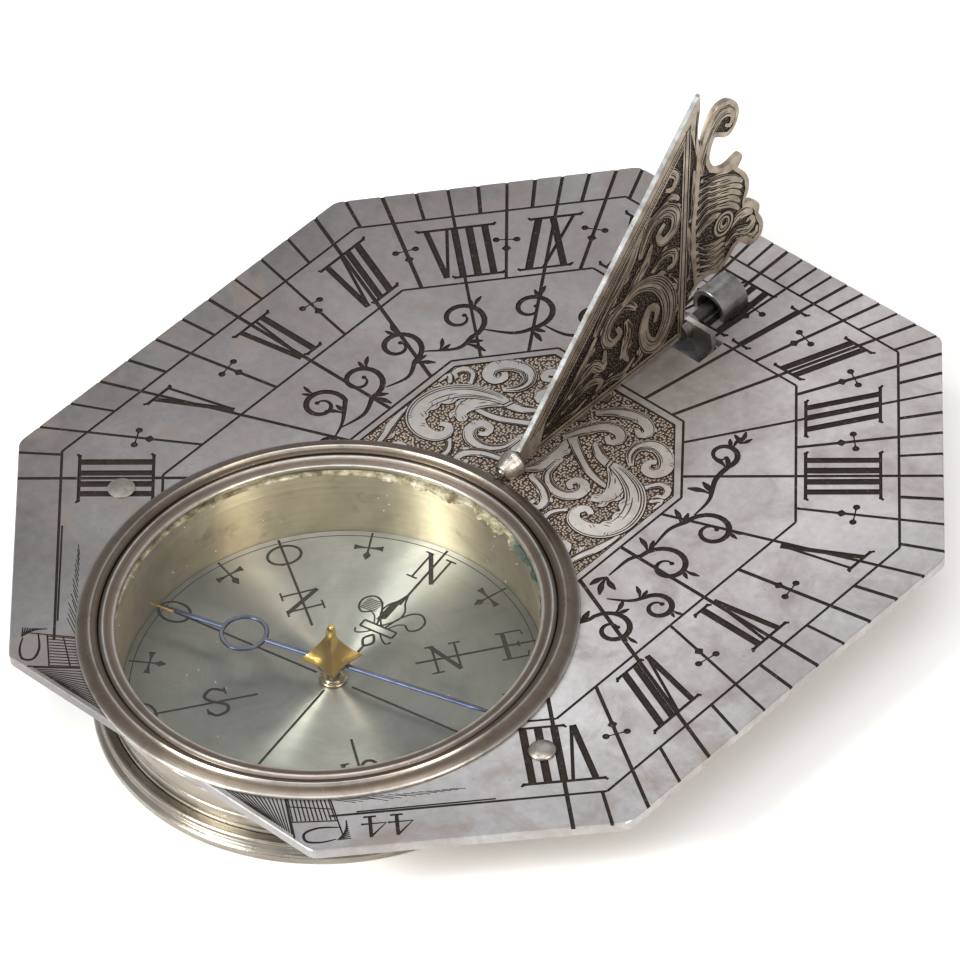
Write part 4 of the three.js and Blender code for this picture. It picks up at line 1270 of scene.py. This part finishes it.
ROSE_TURN = 10  # the engraved north stands this far west of the noon line, in degrees


def rose_point(radius, bearing, across=0.0):
    """Bearing is anticlockwise from the engraved north; across is to the right of the outward way."""
    turn = math.radians(bearing + ROSE_TURN)
    ox, oy = -math.sin(turn), math.cos(turn)
    return (ox * radius + oy * across, oy * radius - ox * across)


# Strokes and their widths, in millimetres about the middle of the letter.
S_CURVE = smooth([(0.74, 0.80), (0.24, 1.28), (-0.56, 1.05), (-0.62, 0.42), (0.36, -0.16), (0.74, -0.74),
                  (0.12, -1.30), (-0.74, -0.94)], 0.2)
O_RING = [(0.92 * math.sin(a / 12 * math.pi), 1.22 * math.cos(a / 12 * math.pi)) for a in range(25)]
LETTERS = {
    "N": [([(-0.80, -1.3), (-0.80, 1.25)], 0.17), ([(-0.88, 1.3), (0.82, -1.32)], 0.34),
          ([(0.82, -1.3), (0.82, 1.3)], 0.17), ([(-1.25, -1.3), (-0.38, -1.3)], 0.15),
          ([(-1.28, 1.3), (-0.62, 1.3)], 0.15), ([(0.40, 1.3), (1.24, 1.3)], 0.15)],
    "E": [([(-0.45, -1.3), (-0.45, 1.3)], 0.34), ([(-0.95, 1.3), (0.82, 1.3), (0.92, 0.86)], 0.15),
          ([(-0.95, -1.3), (0.90, -1.3), (1.02, -0.82)], 0.15), ([(-0.45, 0.0), (0.48, 0.0)], 0.14),
          ([(0.48, -0.28), (0.48, 0.28)], 0.15)],
    "S": [(S_CURVE, 0.26), ([(0.74, 0.50), (0.74, 1.10)], 0.15), ([(-0.76, -1.25), (-0.76, -0.60)], 0.15)],
    "O": [(O_RING, 0.21)],
}


def draw_letter(face, letter, radius, bearing, sideways):
    """An upright letter stands on the rim's side; a sideways one reads along its spoke."""
    for spine, width in LETTERS[letter]:
        if sideways:
            spine = [rose_point(radius + u, bearing, -v) for u, v in spine]
        else:
            spine = [rose_point(radius + v, bearing, u) for u, v in spine]
        face.line(spine, width, depth=0.06, rank=5)


def draw_fleur(face):
    """North mark: a fleur-de-lis, hatched on its west half."""
    def line(spine, width=0.17):
        placed = [rose_point(5.0 + (r - 4.3) * 1.15, 0, across * 1.15) for across, r in spine]
        face.line(placed, width, depth=0.06, rank=5)

    line([(0, 0.9), (0, 3.4)], 0.19)
    for side in (-1, 1):
        line(smooth([(0, 3.2), (side * 0.36, 3.75), (0, 4.35)], 0.15), 0.20)
        line(smooth([(0, 5.2), (side * 0.62, 6.1), (side * 0.62, 6.9), (side * 0.25, 7.5), (0, 8.3)], 0.2),
             0.14)
        line(smooth([(side * 0.3, 5.2), (side * 0.62, 6.2), (side * 1.1, 6.95), (side * 1.7, 7.15),
                     (side * 2.2, 6.7), (side * 2.15, 6.0), (side * 1.7, 5.65), (side * 1.25, 5.95)], 0.2),
             0.16)
        line(smooth([(side * 1.25, 5.95), (side * 0.85, 5.75), (side * 0.5, 5.2)], 0.2), 0.12)
        line(smooth([(side * 0.3, 4.6), (side * 0.7, 4.2), (side * 1.1, 4.0), (side * 1.3, 4.3)], 0.2), 0.14)
        line([(side * 1.15, 4.6), (side * 1.15, 5.15)])
    for r in (4.6, 5.15):
        line([(-1.15, r), (1.15, r)])
    for k in range(7):
        t = k / 6
        line([(-0.55 + 0.45 * t, 5.5 + 0.3 * t), (-0.5 + 0.42 * t, 7.2 + 0.6 * t)], 0.09)
        line([(-2.1 + 0.15 * t, 5.95 + 0.85 * t), (-1.0 + 0.1 * t, 6.05 + 0.85 * t)], 0.09)


def build_rose():
    face = Engraver()

    def spoke(bearing, start, end, width=0.19):
        face.line([rose_point(start, bearing), rose_point(end, bearing)], width, depth=0.06, rank=4)

    spoke(0, 8.4, 14.6)
    for bearing, start in ((49, 5.6), (90, 1.4), (135, 5.4), (180, 1.2), (225, 6.0), (270, 1.5), (315, 5.8)):
        spoke(bearing, start, 14.6)
    for k in range(8):
        bearing = 22.5 + 45 * k
        spoke(bearing, 12.3, 14.6, 0.15)
        for side in (-1, 1):
            arm = [rose_point(13.1, bearing, side * s) for s in (0, 0.4, 0.75, 1.05)]
            face.line(arm, lambda t: 0.13 + 0.42 * t * t, depth=0.06, rank=5)
        face.area([rose_point(12.8, bearing), rose_point(12.35, bearing, 0.3), rose_point(11.85, bearing),
                   rose_point(12.35, bearing, -0.3)], 0.06, 1, 5)
    for letter, radius, bearing, sideways in (
            ("N", 12.5, 0, False), ("N", 8.2, 49, True), ("O", 13.0, 49, True), ("O", 13.4, 90, False),
            ("S", 8.3, 135, True), ("O", 13.5, 135, True), ("S", 12.9, 180, False), ("S", 9.0, 225, True),
            ("E", 13.2, 225, True), ("E", 12.5, 270, False), ("N", 8.0, 315, True), ("E", 12.7, 315, True)):
        draw_letter(face, letter, radius, bearing, sideways)
    draw_fleur(face)
    rim = circle(0, 0, 14.25, 160)
    face.line([*rim, rim[0]], 0.07, depth=0.03, rank=3)
    rose = carved("rose_plate_engraved", circle(0, 0, 14.74, 160), [circle(0, 0, 0.46, 24)], face.cuts, [],
                  ROSE_FACE - 0.35, ROSE_FACE, 0.03, [ROSE, ROSE_CUT], flat_place, COMPASS)
    fit_out(rose, "case", "golden_silver", "rose_plate")


# ---------------------------------------------------------------- needle, cap and pivot

def build_pivot():
    pin = [(0, -6.5), (0.41, -6.5), (0.41, -5.75), (0.34, -5.6), (0.22, -4.9), (0.14, -4.2), (0.03, -3.62),
           (0, -3.56)]
    fit_out(lathe("pivot_pin_ground", pin, [STEEL], 32), "case", "steel", "pivot_pin")
    bush = [(0.46, -6.05), (1.0, -6.05), (1.0, -5.88), (0.92, -5.8), (0.8, -5.78), (0.76, -5.66),
            (0.66, -5.6), (0.46, -5.6)]
    fit_out(lathe("pivot_bush_turned", rounded(bush, 0.03), [BUSH], 48, ring=True), "case", "brass",
            "pivot_bush")


def build_needle():
    """A flat needle with a ring in its west arm and a brass tip there."""
    heading = math.radians(16)
    half, boss = 0.18, 1.13
    ring_x, outer, inner, reach, tail = -6.9, 1.75, 1.42, 13.4, 14.4
    boss_angle = math.degrees(math.asin(half / boss))
    ring_angle = math.degrees(math.asin(half / outer))
    upper = [(reach, 0), (reach - 0.5, 0.09), (reach - 2.4, half),
             *arc(0, 0, boss, boss_angle, 180 - boss_angle),
             *arc(ring_x, 0, outer, ring_angle, 180 - ring_angle), (2 - tail, half), (0.5 - tail, 0.10),
             (-tail, 0)]
    outline = [*upper, *[(x, -y) for x, y in reversed(upper[1:-1])]]
    face = Engraver()
    tip_start = -13.6
    face.area(box_ring(-14.5, tip_start, -0.5, 0.5), 0.0, 1, 1)

    def place(u, v, w):
        return (u * math.cos(heading) - v * math.sin(heading),
                u * math.sin(heading) + v * math.cos(heading), w)

    # The needle's sides take the painted-shade copy of the blued steel; the brass tip's sides take the brass.
    needle = carved("needle_blued", outline, [circle(0, 0, 0.73, 32), circle(ring_x, 0, inner, 48)],
                    face.cuts, [], NEEDLE_Z - 0.1, NEEDLE_Z + 0.1, 0.05, [BLUED, BRASS, BLUED_SHADED_EDGE], place,
                    COMPASS, 40, edge_finish=lambda ax, ay, bx, by: 1 if ax < tip_start else 2)
    fit_out(needle, "needle", "blued_steel", "needle")


def build_cap():
    """Four hollow-sided faces drawn up to a small finial, on a round neck."""
    seat, sides = NEEDLE_Z + 0.15, 48
    levels = [(-0.60, 0.43, 0), (-0.60, 0.70, 0), (-0.52, 0.84, 0), (-0.28, 0.93, 0), (-0.25, 0.68, 0),
              (0.0, 0.68, 0), (0.0, 1.75, 1), (0.03, 1.95, 1), (0.18, 2.15, 1), (0.27, 2.17, 1),
              (0.36, 2.10, 1), (0.62, 1.74, 1), (0.95, 1.38, 1), (1.30, 1.06, 1), (1.65, 0.80, 0.95),
              (2.00, 0.57, 0.85), (2.28, 0.40, 0.7), (2.45, 0.33, 0.5), (2.60, 0.37, 0.35),
              (2.85, 0.35, 0.3), (3.10, 0.31, 0.3), (3.26, 0.25, 0.2), (3.36, 0.15, 0.1), (3.40, 0.02, 0)]
    points, faces = [], []
    corner = math.sqrt(0.5)
    for height, reach, squareness in levels:
        lean = max(0.0, height - 1.6) * 0.10  # the finial is bent a little
        for i in range(sides):
            turn = 2 * math.pi * i / sides
            near = max(abs(math.cos(turn)), abs(math.sin(turn)))
            flat = corner / near
            hollow = 1 - 0.16 * (near - corner) / (1 - corner)
            radius = reach * ((1 - squareness) + squareness * flat * hollow)
            points.append((radius * math.cos(turn) + lean, radius * math.sin(turn) + lean * 0.4,
                           seat + height))
    for k in range(len(levels) - 1):
        for i in range(sides):
            j = (i + 1) % sides
            faces.append([k * sides + i, k * sides + j, (k + 1) * sides + j, (k + 1) * sides + i])
    faces.append([(len(levels) - 1) * sides + i for i in range(sides)])
    tip = len(points)
    points.append((0, 0, NEEDLE_Z + 0.81))
    faces += [[tip, (i + 1) % sides, i] for i in range(sides)]
    piece = mesh_object("needle_cap_filed", points, faces, [BRASS], COMPASS, smooth_angle=28)
    fit_out(piece, "needle", "brass", "needle_cap")


# ---------------------------------------------------------------- gnomon

STYLE_TOP = (21.64, 20.9)
EDGE_SLOPE = math.tan(LATITUDE)
BLADE_HALF = 0.22
HUB_RADIUS = 0.8
CAM_RADIUS = 2.6


def blade_outline():
    """North and height. The style runs up at the latitude; behind it are a bird's head and a crest."""
    throat = smooth([(19.0, 1.5), (19.2, 2.9), (20.2, 3.75), (21.6, 3.9), (22.5, 3.5), (23.4, 3.8),
                     (24.4, 4.6)], 0.2)
    beak = smooth([(24.4, 4.6), (25.0, 4.75), (25.5, 4.2), (26.2, 3.62), (27.2, 3.85), (27.52, 4.9),
                   (27.05, 6.15)], 0.2)
    lip = smooth([(27.05, 6.15), (27.2, 6.85), (26.5, 7.75), (25.62, 8.12)], 0.2)
    crown = smooth([(25.62, 8.12), (26.1, 8.9), (26.22, 9.8), (25.85, 10.8), (25.1, 11.8)], 0.2)
    hook = smooth([(25.1, 11.8), (25.62, 12.4), (25.4, 12.95), (24.8, 12.92), (24.0, 12.8), (23.2, 13.05),
                   (22.55, 13.7), (22.25, 14.6), (22.5, 15.5), (22.85, 16.1)], 0.2)
    crest = smooth([(22.85, 16.1), (23.3, 15.85), (23.75, 15.5), (24.4, 15.36), (25.1, 15.9), (25.48, 16.8),
                    (25.28, 17.75), (24.5, 18.55), (23.4, 18.75), (22.6, 18.2), (22.0, 17.3), (21.5, 16.2)],
                   0.2)
    outline = [(1.5, 0.22), (18.98, 0.22), *throat, *beak[1:], *lip[1:], *crown[1:], *hook[1:], *crest[1:]]
    return [*outline, (21.18, 17.4), (21.45, 19.2), STYLE_TOP, (21.39, 20.8), (1.5, 1.5 * EDGE_SLOPE - 0.1)]


def style_side(ax, ay, bx, by):
    """The finish of the blade's side: the darker painted-shade copy along the style and its tip, the blade's
    elsewhere.
    """
    return 3 if min(ay - ax * EDGE_SLOPE, by - bx * EDGE_SLOPE) > -0.35 else 0


def blade_face():
    """Scrolls on a punched ground in the triangle, and the bird's head and its crest behind it."""
    face = Engraver()

    def off_style(y, distance):
        """A point on a line parallel to the style, at a north position."""
        return (y, (y - distance / math.sin(LATITUDE)) * EDGE_SLOPE)

    for distance, start, end, width in ((0.55, 2.6, 20.3, 0.09), (0.80, 3.0, 20.0, 0.07),
                                        (1.02, 3.5, 19.6, 0.10)):
        face.line([off_style(start, distance), off_style(end, distance)], width, depth=0.05, rank=5)
    for k in range(92):
        face.dot(*off_style(3.6 + 0.175 * k, 0.91), 0.045, depth=0.04, rank=5, count=6)
    face.line([(18.2, 0.7), (19.96, 18.7)], 0.10, depth=0.06, rank=5)
    face.line([(18.62, 0.7), (20.38, 19.0)], 0.12, depth=0.06, rank=5)
    face.line([(20.75, 16.4), (21.3, 19.6)], 0.07, depth=0.05, rank=5)
    face.line([(3.2, 0.55), (18.2, 0.55)], 0.09, depth=0.05, rank=5)
    field = face.area([(3.6, 0.85), (18.05, 0.85), (19.6, 17.2), off_style(19.62, 1.22),
                       off_style(4.2, 1.22)], 0.07, 2, 1)
    nape = face.area([(18.78, 0.7), (19.15, 1.6), (19.35, 3.0), (20.0, 3.75), (19.9, 6.2), (20.0, 9.6),
                      (20.6, 12.6), (20.9, 15.6), (20.45, 18.2)], 0.06, 2, 1)

    def leafy(knots, width, lobes=(), hand=1, inside=field):
        acanthus(face, inside, smooth(knots, 0.3), width, lobes, hand, len(SHADING))

    leafy([(3.9, 1.1), (5.6, 1.3), (7.2, 1.2), (8.4, 1.5)], swell(0.15, 0.42, 0.15))
    leafy([(9.0, 1.1), (10.8, 1.55), (12.2, 1.2), (13.5, 1.8)], swell(0.2, 0.65, 0.2),
          [(0.4, 0.7, 55), (0.7, 0.6, -55)])
    leafy([(13.2, 1.1), (14.1, 1.5), (14.2, 2.7)], swell(0.2, 0.55, 0.2), [(0.5, 0.6, 60)])
    leafy([(5.8, 1.9), (7.6, 2.5), (9.2, 2.6), (10.1, 1.9), (9.4, 1.5)], swell(0.2, 0.75, 0.3),
          [(0.35, 0.8, 50), (0.6, 0.8, 60)])
    leafy([(4.3, 1.9), (6.3, 3.0), (8.2, 4.7), (9.8, 6.4)], swell(0.2, 0.7, 0.3),
          [(0.4, 0.9, -50), (0.6, 1.0, -50), (0.8, 0.8, -50)])
    leafy([(6.6, 2.8), (8.2, 3.7), (9.4, 4.0), (10.3, 3.2), (10.6, 4.6)], swell(0.3, 0.95, 0.3),
          [(0.35, 0.9, 55), (0.55, 1.0, -55), (0.75, 0.8, 50)])
    leafy([(12.2, 10.6), (14.0, 12.4), (15.6, 14.2), (17.0, 15.8)], swell(0.25, 0.6, 0.2), [(0.5, 0.7, 50)])
    leafy([(9.6, 6.6), (11.4, 8.6), (13.4, 10.4), (14.6, 12.2), (16.0, 13.4)], swell(0.4, 1.0, 0.3),
          [(0.25, 1.0, -50), (0.45, 1.0, -50), (0.7, 0.9, 50)])
    leafy([(18.3, 16.0), (18.9, 17.0), (19.1, 17.9)], swell(0.2, 0.5, 0.1))
    leafy([(16.9, 13.4), (18.1, 13.9), (18.9, 13.1)], swell(0.2, 0.6, 0.2), [(0.5, 0.5, -60)])
    leafy([(15.6, 13.8), (16.6, 15.5), (18.0, 16.1), (18.8, 15.3), (18.3, 14.5), (17.6, 14.8)],
          swell(0.35, 0.85, 0.3), [(0.3, 0.8, 55), (0.55, 0.7, 55)])
    leafy([(14.6, 10.4), (15.8, 12.5), (17.4, 13.0), (18.5, 12.0), (18.2, 10.7), (17.0, 10.4), (16.6, 11.3),
           (17.3, 11.9)], swell(0.4, 1.15, 0.35), [(0.22, 0.9, 60), (0.38, 1.0, 60), (0.52, 0.9, 60),
                                                   (0.3, 0.8, -55)])
    leafy([(13.0, 7.6), (14.4, 8.9), (15.3, 9.8), (15.9, 10.9)], swell(0.4, 1.0, 0.2),
          [(0.45, 0.9, 45), (0.6, 0.8, -45)])
    leafy([(15.8, 8.3), (17.0, 9.1), (18.2, 8.6), (18.1, 7.6), (17.3, 7.6)], swell(0.3, 0.8, 0.3),
          [(0.35, 0.8, 60), (0.6, 0.6, 60)])
    leafy([(17.5, 6.9), (18.4, 5.6), (18.1, 3.6)], swell(0.2, 0.6, 0.15), [(0.4, 0.6, -50)])
    leafy([(12.9, 5.8), (13.1, 4.4), (12.5, 3.1), (12.9, 1.9)], swell(0.4, 0.95, 0.2),
          [(0.35, 0.9, -55), (0.5, 0.9, 55), (0.7, 0.7, -50)])
    leafy([(14.0, 6.2), (12.9, 7.3), (11.4, 7.0), (10.7, 5.7), (11.3, 4.7), (12.2, 5.0), (11.9, 5.8)],
          swell(0.4, 1.05, 0.35), [(0.3, 0.9, -60), (0.5, 0.9, -60), (0.65, 0.7, -55)], hand=-1)
    leafy([(12.6, 7.4), (14.3, 7.9), (16.2, 7.0), (17.3, 5.0), (17.2, 2.9), (16.0, 1.5), (14.9, 2.1),
           (14.6, 3.8), (15.3, 5.2), (16.1, 4.6), (15.8, 3.6)], swell(0.5, 1.55, 0.4, 0.4),
          [(0.22, 1.3, 62), (0.34, 1.3, 62), (0.46, 1.2, 62), (0.58, 1.0, 60), (0.36, 1.1, -58),
           (0.5, 0.9, -58)])

    def groove(knots, width):
        face.line(smooth(knots, 0.2), swell(0.03, width, 0.02), depth=0.06, rank=ABOVE_LEAVES)

    leafy([(19.2, 1.9), (19.5, 3.4), (20.6, 4.4)], swell(0.2, 0.5, 0.1), [(0.5, 0.5, 50)], inside=nape)
    leafy([(19.4, 5.0), (19.75, 7.4), (19.7, 9.8)], swell(0.3, 0.6, 0.2),
          [(0.3, 0.6, -60), (0.6, 0.6, -60)], inside=nape)
    leafy([(19.9, 10.2), (20.3, 12.4), (20.6, 14.6)], swell(0.25, 0.55, 0.2),
          [(0.35, 0.6, -60), (0.7, 0.6, -60)], inside=nape)

    head = face.area([(20.35, 4.6), (21.6, 4.35), (22.5, 4.0), (23.3, 4.3), (24.1, 5.05), (25.05, 5.25),
                      (25.7, 4.7), (26.3, 4.15), (26.95, 4.35), (27.05, 5.0), (26.7, 5.9), (26.6, 6.7),
                      (26.1, 7.35), (25.35, 7.75), (25.4, 8.4), (25.75, 9.3), (25.7, 10.2), (25.2, 11.1),
                      (24.5, 12.0), (23.9, 12.35), (22.9, 12.75), (22.1, 13.4), (21.75, 14.4),
                      (21.95, 15.5), (22.35, 16.35), (22.9, 16.6), (23.5, 16.2), (24.1, 15.8),
                      (24.7, 15.95), (25.1, 16.7), (25.0, 17.5), (24.4, 18.2), (23.5, 18.35), (22.85, 17.9),
                      (22.3, 17.1), (21.8, 16.2), (21.45, 15.3), (21.2, 14.2), (20.95, 12.4), (20.45, 9.6),
                      (20.35, 6.2)], 0.06, 2, 1)

    def lock(knots, width, lobes=()):
        leafy(knots, swell(0.25, width, 0.2), lobes, inside=head)

    def row(low, high, shares, width):
        """Locks laid side by side from the low curve up to the high one."""
        for t in shares:
            lock([(a + (c - a) * t, b + (d - b) * t) for (a, b), (c, d) in zip(low, high)], width)

    lock([(21.2, 13.2), (22.2, 12.7), (23.4, 12.35), (24.4, 12.1)], 0.6)
    row(((20.4, 9.2), (21.7, 10.0), (23.1, 9.7), (24.2, 9.0), (25.0, 7.9)),
        ((20.8, 12.4), (21.9, 12.3), (23.2, 11.8), (24.6, 11.1), (25.5, 10.2)),
        (0.0, 0.27, 0.53, 0.78, 1.0), 0.95)
    lock([(20.5, 8.4), (21.4, 8.9), (22.3, 9.0), (23.1, 8.7)], 0.8)
    row(((20.3, 5.0), (21.3, 4.6), (22.3, 4.3), (23.2, 4.5)),
        ((20.4, 7.7), (21.1, 7.0), (22.1, 6.5), (23.4, 6.3)), (0.0, 0.25, 0.5, 0.75, 1.0), 0.68)
    lock([(24.6, 5.4), (25.4, 5.15), (26.1, 4.6), (26.7, 4.65), (26.8, 5.1)], 0.65)
    lock([(23.4, 5.5), (24.4, 6.0), (25.2, 5.7), (25.9, 5.4), (26.4, 5.7), (26.2, 6.3), (25.7, 6.2)], 0.9)
    lock([(24.0, 6.8), (24.9, 7.3), (25.8, 7.1), (26.4, 6.6)], 0.95)
    lock([(21.3, 13.6), (21.35, 14.8), (21.85, 16.0), (22.6, 17.1), (23.6, 17.75), (24.5, 17.5),
          (24.85, 16.8), (24.4, 16.25), (23.95, 16.6)], 1.15, [(0.25, 0.6, -50), (0.45, 0.7, -50)])
    eye = (23.35, 7.65)
    face.dot(*eye, 1.18, depth=0.07, rank=ABOVE_LEAVES - 2, count=32)
    face.dot(*eye, 1.02, depth=0.0, finish=0, rank=ABOVE_LEAVES - 1, count=32)
    for radius, width in ((0.72, 0.17), (0.44, 0.10)):
        ring = circle(*eye, radius, 28)
        face.line([*ring, ring[0]], width, depth=0.06, rank=ABOVE_LEAVES + 1)
    face.dot(23.42, 7.75, 0.26, depth=0.07, rank=ABOVE_LEAVES + 1, count=14)
    groove([(22.2, 7.3), (21.6, 6.95), (21.2, 7.6), (21.5, 8.3), (22.3, 8.2)], 0.2)
    groove([(21.3, 16.2), (21.2, 17.6), (21.4, 19.3)], 0.14)
    groove([(20.8, 16.9), (20.95, 18.3), (21.2, 19.8)], 0.14)
    return face.cuts


def build_gnomon():
    """The blade, its foot (a cam plate, a tube and three webs) and its two pins."""
    cuts = blade_face()
    blade = carved("gnomon_blade_engraved", blade_outline(), [], cuts, cuts, -BLADE_HALF, BLADE_HALF, 0.05,
                   [BLADE, BLADE_CUT, BLADE_GROUND, STYLE_EDGE_SHADED], blade_place, edge_finish=style_side)
    fit_out(blade, "gnomon", "tarnished_silver", "gnomon_blade")

    sector = [*arc(0, HINGE_HEIGHT, CAM_RADIUS, -62, 18, 8), (0.0, HINGE_HEIGHT + HUB_RADIUS + 0.002),
              *arc(0, HINGE_HEIGHT, HUB_RADIUS, 71, -62, 19)]
    bore = [circle(0, HINGE_HEIGHT, 0.52, 24)]
    east = arc(0, HINGE_HEIGHT, HUB_RADIUS, -70, 70, 14)
    west = [(-x, z) for x, z in reversed(east)]
    under = box_ring(-0.26, 0.26, -0.17, 0.14)
    parts = [("cam", sector, [], -19.5, -19.06, ["gnomon_foot"]),
             ("tube", circle(0, HINGE_HEIGHT, HUB_RADIUS, 32), bore, -19.85, -19.06, []),
             ("east", east, [], -19.05, -18.42, []), ("west", west, [], -19.05, -18.42, []),
             ("under", under, [], -19.05, -18.45, [])]
    for name, outline, holes, low, high, nodes in parts:
        finish = CAM if name == "cam" else HINGE
        piece = carved(f"gnomon_foot_{name}", outline, holes, [], [], low, high, 0.03, [finish],
                       along_place, DIAL, 25)
        fit_out(piece, "gnomon", "tarnished_silver", *nodes)

    profile = [(0, 0), (0.40, 0), (0.46, 0.06), (0.46, 4.99), (0.40, 5.05), (0, 5.05)]
    pin = lathe("north_pin_turned", profile, [DARK_PIN], 32, origin=(0, 37.05, HINGE_UP), lying=True)
    fit_out(pin, "gnomon", "steel", "north_pin")
    profile = [(0, 0), (0.24, 0), (0.34, 0.08), (0.36, 0.16), (0.36, 1.9), (0, 1.9)]
    pin = lathe("toe_pin_turned", profile, [RIVET], 32, origin=(0, 17.54, HINGE_UP), lying=True)
    fit_out(pin, "gnomon", "steel", "toe_pin")


def build_bearings():
    """The south post, the north cock and the leaf spring under the plate."""
    acorn = [(0.41, -0.34), (0.52, -0.30), (0.62, -0.16), (0.74, 0.06), (0.84, 0.32), (0.91, 0.6),
             (0.95, 0.88), (1.00, 0.93), (1.01, 1.08), (0.95, 1.18), (0.84, 1.33), (0.74, 1.36),
             (0.41, 1.36)]
    post = lathe("south_post_acorn", acorn, [RIVET], 64, origin=(0, COMPASS_TO_DIAL, HINGE_UP), ring=True,
                 lying=True, angle=50)
    shank = [(0, -1.2), (0.6, -1.2), (0.78, -1.12), (0.85, -0.85), (0.5, -0.84), (0.5, 0.0), (0.72, 0.0),
             (0.72, 0.07), (0.6, 0.14), (0, 0.16)]
    foot = lathe("south_post_shank", shank, [RIVET], 40, origin=(0, 18.55, PLATE_TOP))
    fit_out(post, "case", "silver", "south_post")
    fit_out(foot, "case", "silver")

    outer, inner, edge = 1.5, 1.1, 0.05
    arch = [(inner, edge), (outer, edge), *arc(0, HINGE_HEIGHT, outer, 0, 180, 5), (-outer, edge),
            (-inner, edge), *arc(0, HINGE_HEIGHT, inner, 180, 0, 6)]
    strap = carved("north_cock_strap", arch, [], [], [], -24.2, -21.6, 0.045, [HINGE], along_place, DIAL, 25)
    inner -= 0.01
    wall = [(-inner, 0.06), (inner, 0.06), *arc(0, HINGE_HEIGHT, inner, 0, 180, 8)]
    plug = carved("north_cock_end", wall, [circle(0, HINGE_HEIGHT, 0.51, 28)], [], [], -24.15, -23.75, 0.03,
                  [HINGE], along_place, DIAL, 25)
    tenons = [carved(f"north_cock_tenon_{name}", box_ring(x - 0.19, x + 0.19, 22.32, 23.28), [], [], [],
                     -1.0, 0.06, 0.04, [HINGE], flat_place) for name, x in (("west", -1.3), ("east", 1.3))]
    fit_out(strap, "case", "tarnished_silver", "north_cock")
    for piece in (plug, *tenons):
        fit_out(piece, "case", "tarnished_silver")

    leaf = [(6.8, -1.15), (11.7, -1.15), (12.6, -1.2), (15.9, -2.3), (16.7, -2.4), (21.0, -2.4),
            (21.0, -2.12), (16.6, -2.1), (15.9, -2.02), (12.4, -0.93), (11.6, -0.85), (6.8, -0.85)]
    spring = carved("leaf_spring_bent", leaf, [], [], [], -1.5, 1.5, 0.04, [SPRING], blade_place)
    fit_out(spring, "case", "steel", "leaf_spring")


build_plate()
build_box()
build_rivets()
build_bezel()
build_putty()
build_rose()
build_pivot()
build_needle()
build_cap()
build_gnomon()
build_bearings()

floor = mesh_object("floor", [(-3000, -3000, 0), (3000, -3000, 0), (3000, 3000, 0), (-3000, 3000, 0)],
                    [(0, 1, 2, 3)], [floor_finish()], (0, 0, 0))
